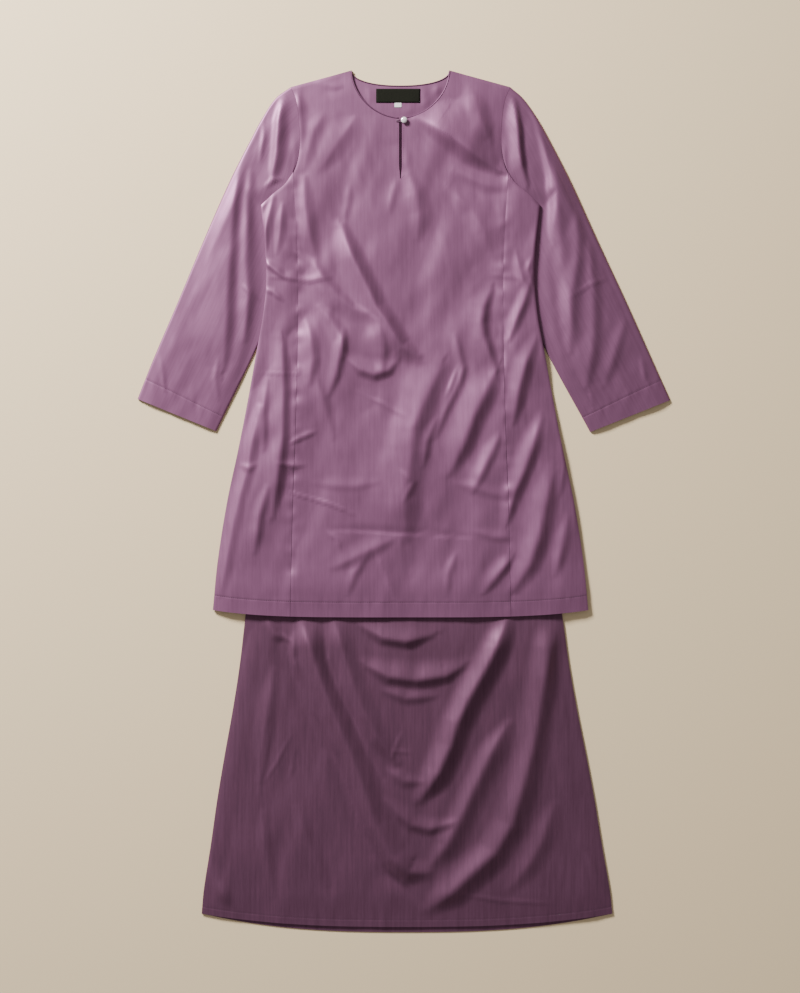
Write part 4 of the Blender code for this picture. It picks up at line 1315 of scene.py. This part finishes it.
@dataclass
class Skirt:
    """Flared skirt, a front panel over a back panel, whose upper half lies under the tunic."""

    columns: int = 170
    rows: int = 200
    puff: float = 3.4
    hem_band: float = 12.0
    noise: SoftNoise = field(default_factory=lambda: SoftNoise(37))

    def front_height(self, x: Array, down: Array) -> Array:
        """Upper face of the front, flat under the tunic and folded below it."""
        beside = FORM.skirt_side.at(down) - np.abs(x - FORM.skirt_lean.at(down))
        lift = self.puff + creased(SKIRT_CREASES, x, down)
        waves = 1.1 * self.noise.at((x + 0.2 * down) / 30.0, down / 80.0)
        lift += waves + 0.3 * self.noise.at(x / 11.0, down / 34.0)
        lift = np.maximum(0.4, lift)
        lift *= 0.2 * rounded(beside, 5.0) + 0.8 * fade(beside, 0.0, 45.0)
        lift *= 0.18 * fade(down, 915.0, 940.0) + 0.82 * fade(down, 935.0, 1010.0)
        lift *= 1.0 - 0.6 * fade(down, 1435.0, 1490.0)
        return 2.0 * FORM.wall + FORM.gap + lift + self._hem(x, down, FORM.skirt_hem_front)

    def _hem(self, x: Array, down: Array, centre: float) -> Array:
        """Relief of the narrow stitched hem."""
        part = (x - FORM.skirt_lean.at(down)) / FORM.skirt_side.at(down)
        rise = self._hem_down(part, centre) - down
        line = np.abs(rise - self.hem_band)
        relief = 0.15 * (1.0 - fade(rise, self.hem_band - 1.0, self.hem_band + 1.0))
        relief -= 0.2 * np.exp(-((line / 1.3) ** 2))
        return relief + 0.4 * self.noise.at(x / 7.5 + 9.0, rise / 50.0) * np.exp(-line / 9.0)

    @staticmethod
    def _hem_down(part: Array, centre: float) -> Array:
        """Height of a hem, which curves up toward the side seams."""
        return centre - (centre - FORM.skirt_corner) * np.abs(part) ** FORM.skirt_hem_power

    def plan(self, centre: float) -> Plan:
        """Places on a panel from the waistband to the hem."""

        def places(across: Array, along: Array) -> Pair:
            part = 2.0 * across - 1.0
            part = 0.9 * part + 0.1 * np.sin(part * math.pi / 2.0)
            along = crowded(along, (0.985, 0.015, 2.5))
            # The hidden upper stretch of the panel has few rows
            hidden, stretch = 0.12, 0.36
            above = along / hidden * stretch
            below = stretch + (along - hidden) / (1.0 - hidden) * (1.0 - stretch)
            reach = np.where(along < hidden, above, below)
            first = FORM.waist_foot + FORM.gap
            down = first + (self._hem_down(part, centre) - first) * reach
            return FORM.skirt_lean.at(down) + part * FORM.skirt_side.at(down), down

        return places

    def back_height(self, x: Array, down: Array) -> Array:
        """Upper face of the back, flat on the table."""
        hem = self._hem(x, down, FORM.skirt_hem_back)
        return FORM.wall + 0.3 * hem * fade(down, 1440.0, 1480.0)

    def build(self) -> None:
        """Lay the back panel and the front panel."""
        back = ClothPiece("skirt_back", SKIRT_SATIN, "skirt_satin")
        laid = back.spread((60, 90), self.plan(FORM.skirt_hem_back), self.back_height)
        plan_area(laid)
        front = ClothPiece("skirt_front", SKIRT_SATIN, "skirt_satin")
        plan = self.plan(FORM.skirt_hem_front)
        laid = front.spread((self.columns, self.rows), plan, self.front_height)
        plan_area(laid)


@dataclass
class NeckEdge:
    """Rolled edge round the front and back necklines."""

    body: TunicBody
    radius: float = 1.1
    inset: float = 1.4
    points: int = 34

    def _route(
        self, first: float, last: float, depth: float, power: float, front: bool
    ) -> list[Vector]:
        """Middle line of a roll between two turns round the neckline."""
        route = []
        for turn in np.linspace(first, last, self.points):
            x = FORM.neck_half * math.sin(turn)
            share = abs(x) / FORM.neck_half
            down = depth * max(0.0, 1.0 - share**power) ** (1.0 / power)
            lean_x = math.copysign(share ** (power - 1.0) / FORM.neck_half, x)
            lean_down = (down / depth) ** (power - 1.0) / depth
            size = math.hypot(lean_x, lean_down)
            x -= self.inset * lean_x / size
            down = max(0.2, down - self.inset * lean_down / size)
            height = self.radius
            if front:
                near = np.array([x]), np.array([down])
                lift = float(FORM.neck_lift(*near)[0])
                height = max(FORM.wall + FORM.gap + lift + FORM.wall / 2.0,
                             FORM.wall + FORM.gap + 2.0 * self.radius)
            route.append(FORM.point(x, down, height))
        return route

    def build(self) -> None:
        """Roll the three lengths of the edge."""
        start = math.asin(self.body.slit_half / FORM.neck_half)
        satin = WARDROBE.satin(ROLL_SATIN, mapped=False)
        for side in Side:
            shape = bmesh.new()
            route = self._route(side.sign * start, side.sign * math.pi / 2.0,
                                FORM.front_neck_depth, FORM.front_neck_power, True)
            thread_along(shape, route, self.radius, 12)
            name = f"neck_roll_front_{side.value}"
            TrimPiece(f"{name}_satin", satin, "roll_satin", (name,)).add(shape)
        shape = bmesh.new()
        route = self._route(-math.pi / 2.0, math.pi / 2.0,
                            FORM.back_neck_depth, FORM.back_neck_power, False)
        thread_along(shape, route, self.radius, 12)
        TrimPiece("neck_roll_back_satin", satin, "roll_satin", ("neck_roll_back",)).add(shape)


@dataclass
class ButtonClosure:
    """Pearl button on its shank and the thread loop that holds it."""

    x: float = 6.3
    down: float = 87.6
    seat: float = 6.0
    radius: float = 5.5
    stem: float = 2.6
    dome: float = 3.4
    shank: float = 1.3
    loop_radius: float = 0.6

    def build(self) -> None:
        """Turn the button and lay the loop round its shank."""
        shape = bmesh.new()
        profile = [(0.0, self.stem + self.dome)]
        for step in range(1, 13):
            turn = math.pi / 2.0 * step / 12
            profile.append((self.radius * math.sin(turn),
                            self.stem + 0.8 + (self.dome - 0.8) * math.cos(turn)))
        profile += [(self.radius - 0.25, self.stem + 0.3), (self.radius - 0.8, self.stem),
                    (self.shank, self.stem), (self.shank, 0.0), (0.0, 0.0)]
        centre = FORM.point(self.x, self.down, self.seat)
        dots = [shape.verts.new(centre + Vector((out * MM, 0.0, up * MM))) for out, up in profile]
        edges = [shape.edges.new(pair) for pair in zip(dots, dots[1:])]
        bmesh.ops.spin(shape, geom=dots + edges, cent=centre, axis=(0.0, 0.0, 1.0),
                       angle=2.0 * math.pi, steps=40, use_merge=True)
        bmesh.ops.remove_doubles(shape, verts=list(shape.verts), dist=0.000001)
        bmesh.ops.recalc_face_normals(shape, faces=list(shape.faces))
        pearl, thread = WARDROBE.plain(PEARL), WARDROBE.plain(THREAD)
        TrimPiece("pearl_button_turned", pearl, "pearl", ("pearl_button",)).add(shape)
        shape = bmesh.new()
        level = FORM.wall + FORM.gap + 3.0 + FORM.wall + 1.1 + self.loop_radius
        root = level - 0.8
        sweep = self.shank + FORM.gap + self.loop_radius + 0.1
        turns = np.linspace(math.pi / 2.0, -math.pi / 2.0, 17)
        places = [(-8.0, 1.5, root), (-5.0, 1.7, root + 0.3), (0.0, sweep, level)]
        places += [(self.x + sweep * math.cos(t), sweep * math.sin(t), level) for t in turns]
        places += [(0.0, -sweep, level), (-5.0, -0.2, root + 0.3), (-8.0, 0.1, root)]
        route = [FORM.point(x, self.down + below, height) for x, below, height in places]
        thread_along(shape, route, self.loop_radius, 10)
        TrimPiece("button_loop_thread", thread, "thread", ("button_loop",)).add(shape)


@dataclass
class NeckLabels:
    """Bare woven label inside the back neck, with a folded size tab at its foot."""

    body: TunicBody
    left: float = -42.7
    right: float = 34.3
    top: float = 31.5
    foot: float = 55.7
    tab_left: float = -10.3
    tab_right: float = 1.8
    tab_foot: float = 64.0

    def _tape(
        self,
        name: str,
        node: str,
        slot: str,
        finish: PlainFinish,
        box: tuple[float, float, float, float],
        rise: float,
        thickness: float,
    ) -> bpy.types.Object:
        """Piece of tape that lies on the tunic's back."""
        left, right, top, foot = box
        shape = bmesh.new()
        bmesh.ops.create_grid(shape, x_segments=24, y_segments=10, size=0.5)
        for point in shape.verts:
            x = left + (right - left) * (point.co.x + 0.5)
            down = top + (foot - top) * (0.5 - point.co.y)
            place = np.array([x]), np.array([down])
            height = float(self.body.back_height(*place)[0]) + rise
            point.co = FORM.point(x, down, height)
        piece = TrimPiece(name, WARDROBE.plain(finish), slot, (node,) if node else ()).add(shape)
        wall = piece.modifiers.new("tape", "SOLIDIFY")
        wall.thickness = thickness * MM
        wall.offset = -1.0
        return piece

    def build(self) -> None:
        """Lay the label, the tab and the label's stitches."""
        box = (self.left, self.right, self.top, self.foot)
        self._tape("neck_label_tape", "neck_label", "label_tape", LABEL_TAPE, box, 0.85, 0.5)
        tab = (self.tab_left, self.tab_right, self.foot - 2.0, self.tab_foot)
        self._tape("size_tab_tape", "size_tab", "tab_tape", TAB_TAPE, tab, 0.34, 0.28)
        shape = bmesh.new()
        inner = 1.5

        def surface(x: Array, down: Array) -> Array:
            """Upper face of the label."""
            return self.body.back_height(x, down) + 0.85

        corners = [(self.left + inner, self.top + inner), (self.right - inner, self.top + inner),
                   (self.right - inner, self.foot - inner), (self.left + inner, self.foot - inner)]
        for (x0, d0), (x1, d1) in zip(corners, corners[1:] + corners[:1]):
            sew(shape, lambda share: (x0 + (x1 - x0) * share, d0 + (d1 - d0) * share),
                math.hypot(x1 - x0, d1 - d0), surface, 2.2, 1.5, 0.4)
        TrimPiece("neck_label_stitches", WARDROBE.plain(LABEL_BORDER), "thread").add(shape)


@dataclass
class Stitching:
    """Machine stitches of the hems, the cuffs and the slit."""

    body: TunicBody
    sleeves: tuple[Sleeve, ...]
    skirt: Skirt

    def build(self) -> None:
        """Sew each run as one piece."""
        thread = WARDROBE.plain(STITCH_THREAD_AND_SHADE)
        shape = bmesh.new()
        reach = FORM.tunic_side.out[-1] - 3.0

        def tunic_line(share: float) -> tuple[float, float]:
            """Place along the tunic's hem stitching."""
            x = reach * (2.0 * share - 1.0)
            return x, float(FORM.hem_down(np.array([x]))[0]) - self.body.hem_band

        sew(shape, tunic_line, 2.0 * reach, self.body.front_height)
        TrimPiece("tunic_hem_stitches", thread, "thread").add(shape)
        shape = bmesh.new()
        for x, foot in ((5.6, 172.0), (-5.2, 176.0)):
            sew(shape, lambda share: (x - 0.8 * share * np.sign(x), 100.0 + (foot - 100.0) * share),
                foot - 100.0, self.body.front_height, 3.2, 1.7, 0.4)
        sew(shape, lambda share: (1.0 + 6.0 * share, 191.0 - 9.0 * share), 10.0,
            self.body.front_height, 2.4, 2.0, 0.5)
        TrimPiece("slit_stitches", thread, "thread").add(shape)
        shape = bmesh.new()

        def skirt_line(share: float) -> tuple[float, float]:
            """Place along the skirt's hem stitching."""
            part = 0.985 * (2.0 * share - 1.0)
            down = self.skirt._hem_down(part, FORM.skirt_hem_front) - self.skirt.hem_band
            x = FORM.skirt_lean.at(down) + part * FORM.skirt_side.at(down)
            return float(x), float(down)

        sew(shape, skirt_line, 710.0, self.skirt.front_height, 3.0, 2.0, 0.55)
        TrimPiece("skirt_hem_stitches", thread, "thread").add(shape)
        for sleeve in self.sleeves:
            sleeve.sew_cuff(thread)


@dataclass
class Studio:
    """Pale table, soft light from the upper left and the camera straight above."""

    frame_height: float = 1.73775
    aim_x: float = -0.00665
    aim_y: float = 0.0087
    distance: float = 3.2
    sensor: float = 36.0
    table_colour: tuple[float, float, float] = (0.82, 0.64, 0.40)

    def build(self) -> None:
        """Set the table, the lights and the camera."""
        self._table()
        self._light("key", (-2.2, 2.62, 1.6), 0.82, 432.0)
        world = bpy.context.scene.world or bpy.data.worlds.new("studio")
        bpy.context.scene.world = world
        world.use_nodes = True
        world.node_tree.nodes["Background"].inputs["Color"].default_value = (1.0, 0.97, 0.93, 1.0)
        world.node_tree.nodes["Background"].inputs["Strength"].default_value = 0.3
        self._camera()

    def _table(self) -> None:
        """Plain pale floor under the garment."""
        shape = bmesh.new()
        bmesh.ops.create_grid(shape, x_segments=1, y_segments=1, size=6.0)
        mesh = bpy.data.meshes.new("table")
        shape.to_mesh(mesh)
        shape.free()
        table = bpy.data.objects.new("table", mesh)
        bpy.context.scene.collection.objects.link(table)
        material = bpy.data.materials.new("pale_table")
        material.use_nodes = True
        shader = material.node_tree.nodes["Principled BSDF"]
        shader.inputs["Base Color"].default_value = (*self.table_colour, 1.0)
        shader.inputs["Roughness"].default_value = 0.9
        mesh.materials.append(material)

    @staticmethod
    def _light(name: str, place: tuple[float, float, float], size: float, power: float) -> None:
        """Square soft light that faces the garment's middle."""
        lamp = bpy.data.lights.new(name, "AREA")
        lamp.size = size
        lamp.energy = power
        made = bpy.data.objects.new(name, lamp)
        made.location = place
        made.rotation_euler = (-Vector(place)).to_track_quat("-Z", "Y").to_euler()
        bpy.context.scene.collection.objects.link(made)

    def _camera(self) -> None:
        """Camera straight above, with the neck at the top of the picture."""
        data = bpy.data.cameras.new("camera")
        data.sensor_width = self.sensor
        data.lens = self.sensor * self.distance / self.frame_height
        camera = bpy.data.objects.new("camera", data)
        camera.location = (self.aim_x, self.aim_y, self.distance)
        bpy.context.scene.collection.objects.link(camera)
        bpy.context.scene.camera = camera


def dress_waistband() -> None:
    """Give the waistband under the tunic the skirt's satin."""
    for made in bpy.data.objects:
        if made.name.startswith("skirt_waistband"):
            for slot in made.material_slots:
                slot.material = WARDROBE.satin(SKIRT_SATIN_PLACED, mapped=False)


def main() -> None:
    """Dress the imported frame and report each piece."""
    logging.basicConfig(level=logging.INFO, format="%(message)s")
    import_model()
    Studio().build()
    body, skirt = TunicBody(), Skirt()
    sleeves = (
        Sleeve(
            Side.LEFT,
            Outline((28.7, 192.0), (47.0, 213.0), (82.0, 238.0), (121.0, 260.0), (191.0, 296.0),
                    (296.0, 344.0), (401.0, 393.0), (506.0, 440.0), (576.0, 471.6)),
            Outline(*SLEEVE_INNER, (632.0, 331.6)),
        ),
        Sleeve(
            Side.RIGHT,
            Outline((28.7, 192.0), (47.0, 217.0), (82.0, 241.0), (121.0, 262.0), (191.0, 297.5),
                    (296.0, 344.0), (401.0, 388.0), (506.0, 433.0), (574.0, 460.0)),
            Outline(*SLEEVE_INNER, (630.5, 322.0)),
        ),
    )
    skirt.build()
    body.build()
    for sleeve in sleeves:
        sleeve.build()
    NeckEdge(body).build()
    ButtonClosure().build()
    NeckLabels(body).build()
    Stitching(body, sleeves, skirt).build()
    dress_waistband()


if __name__ == "__main__":
    main()
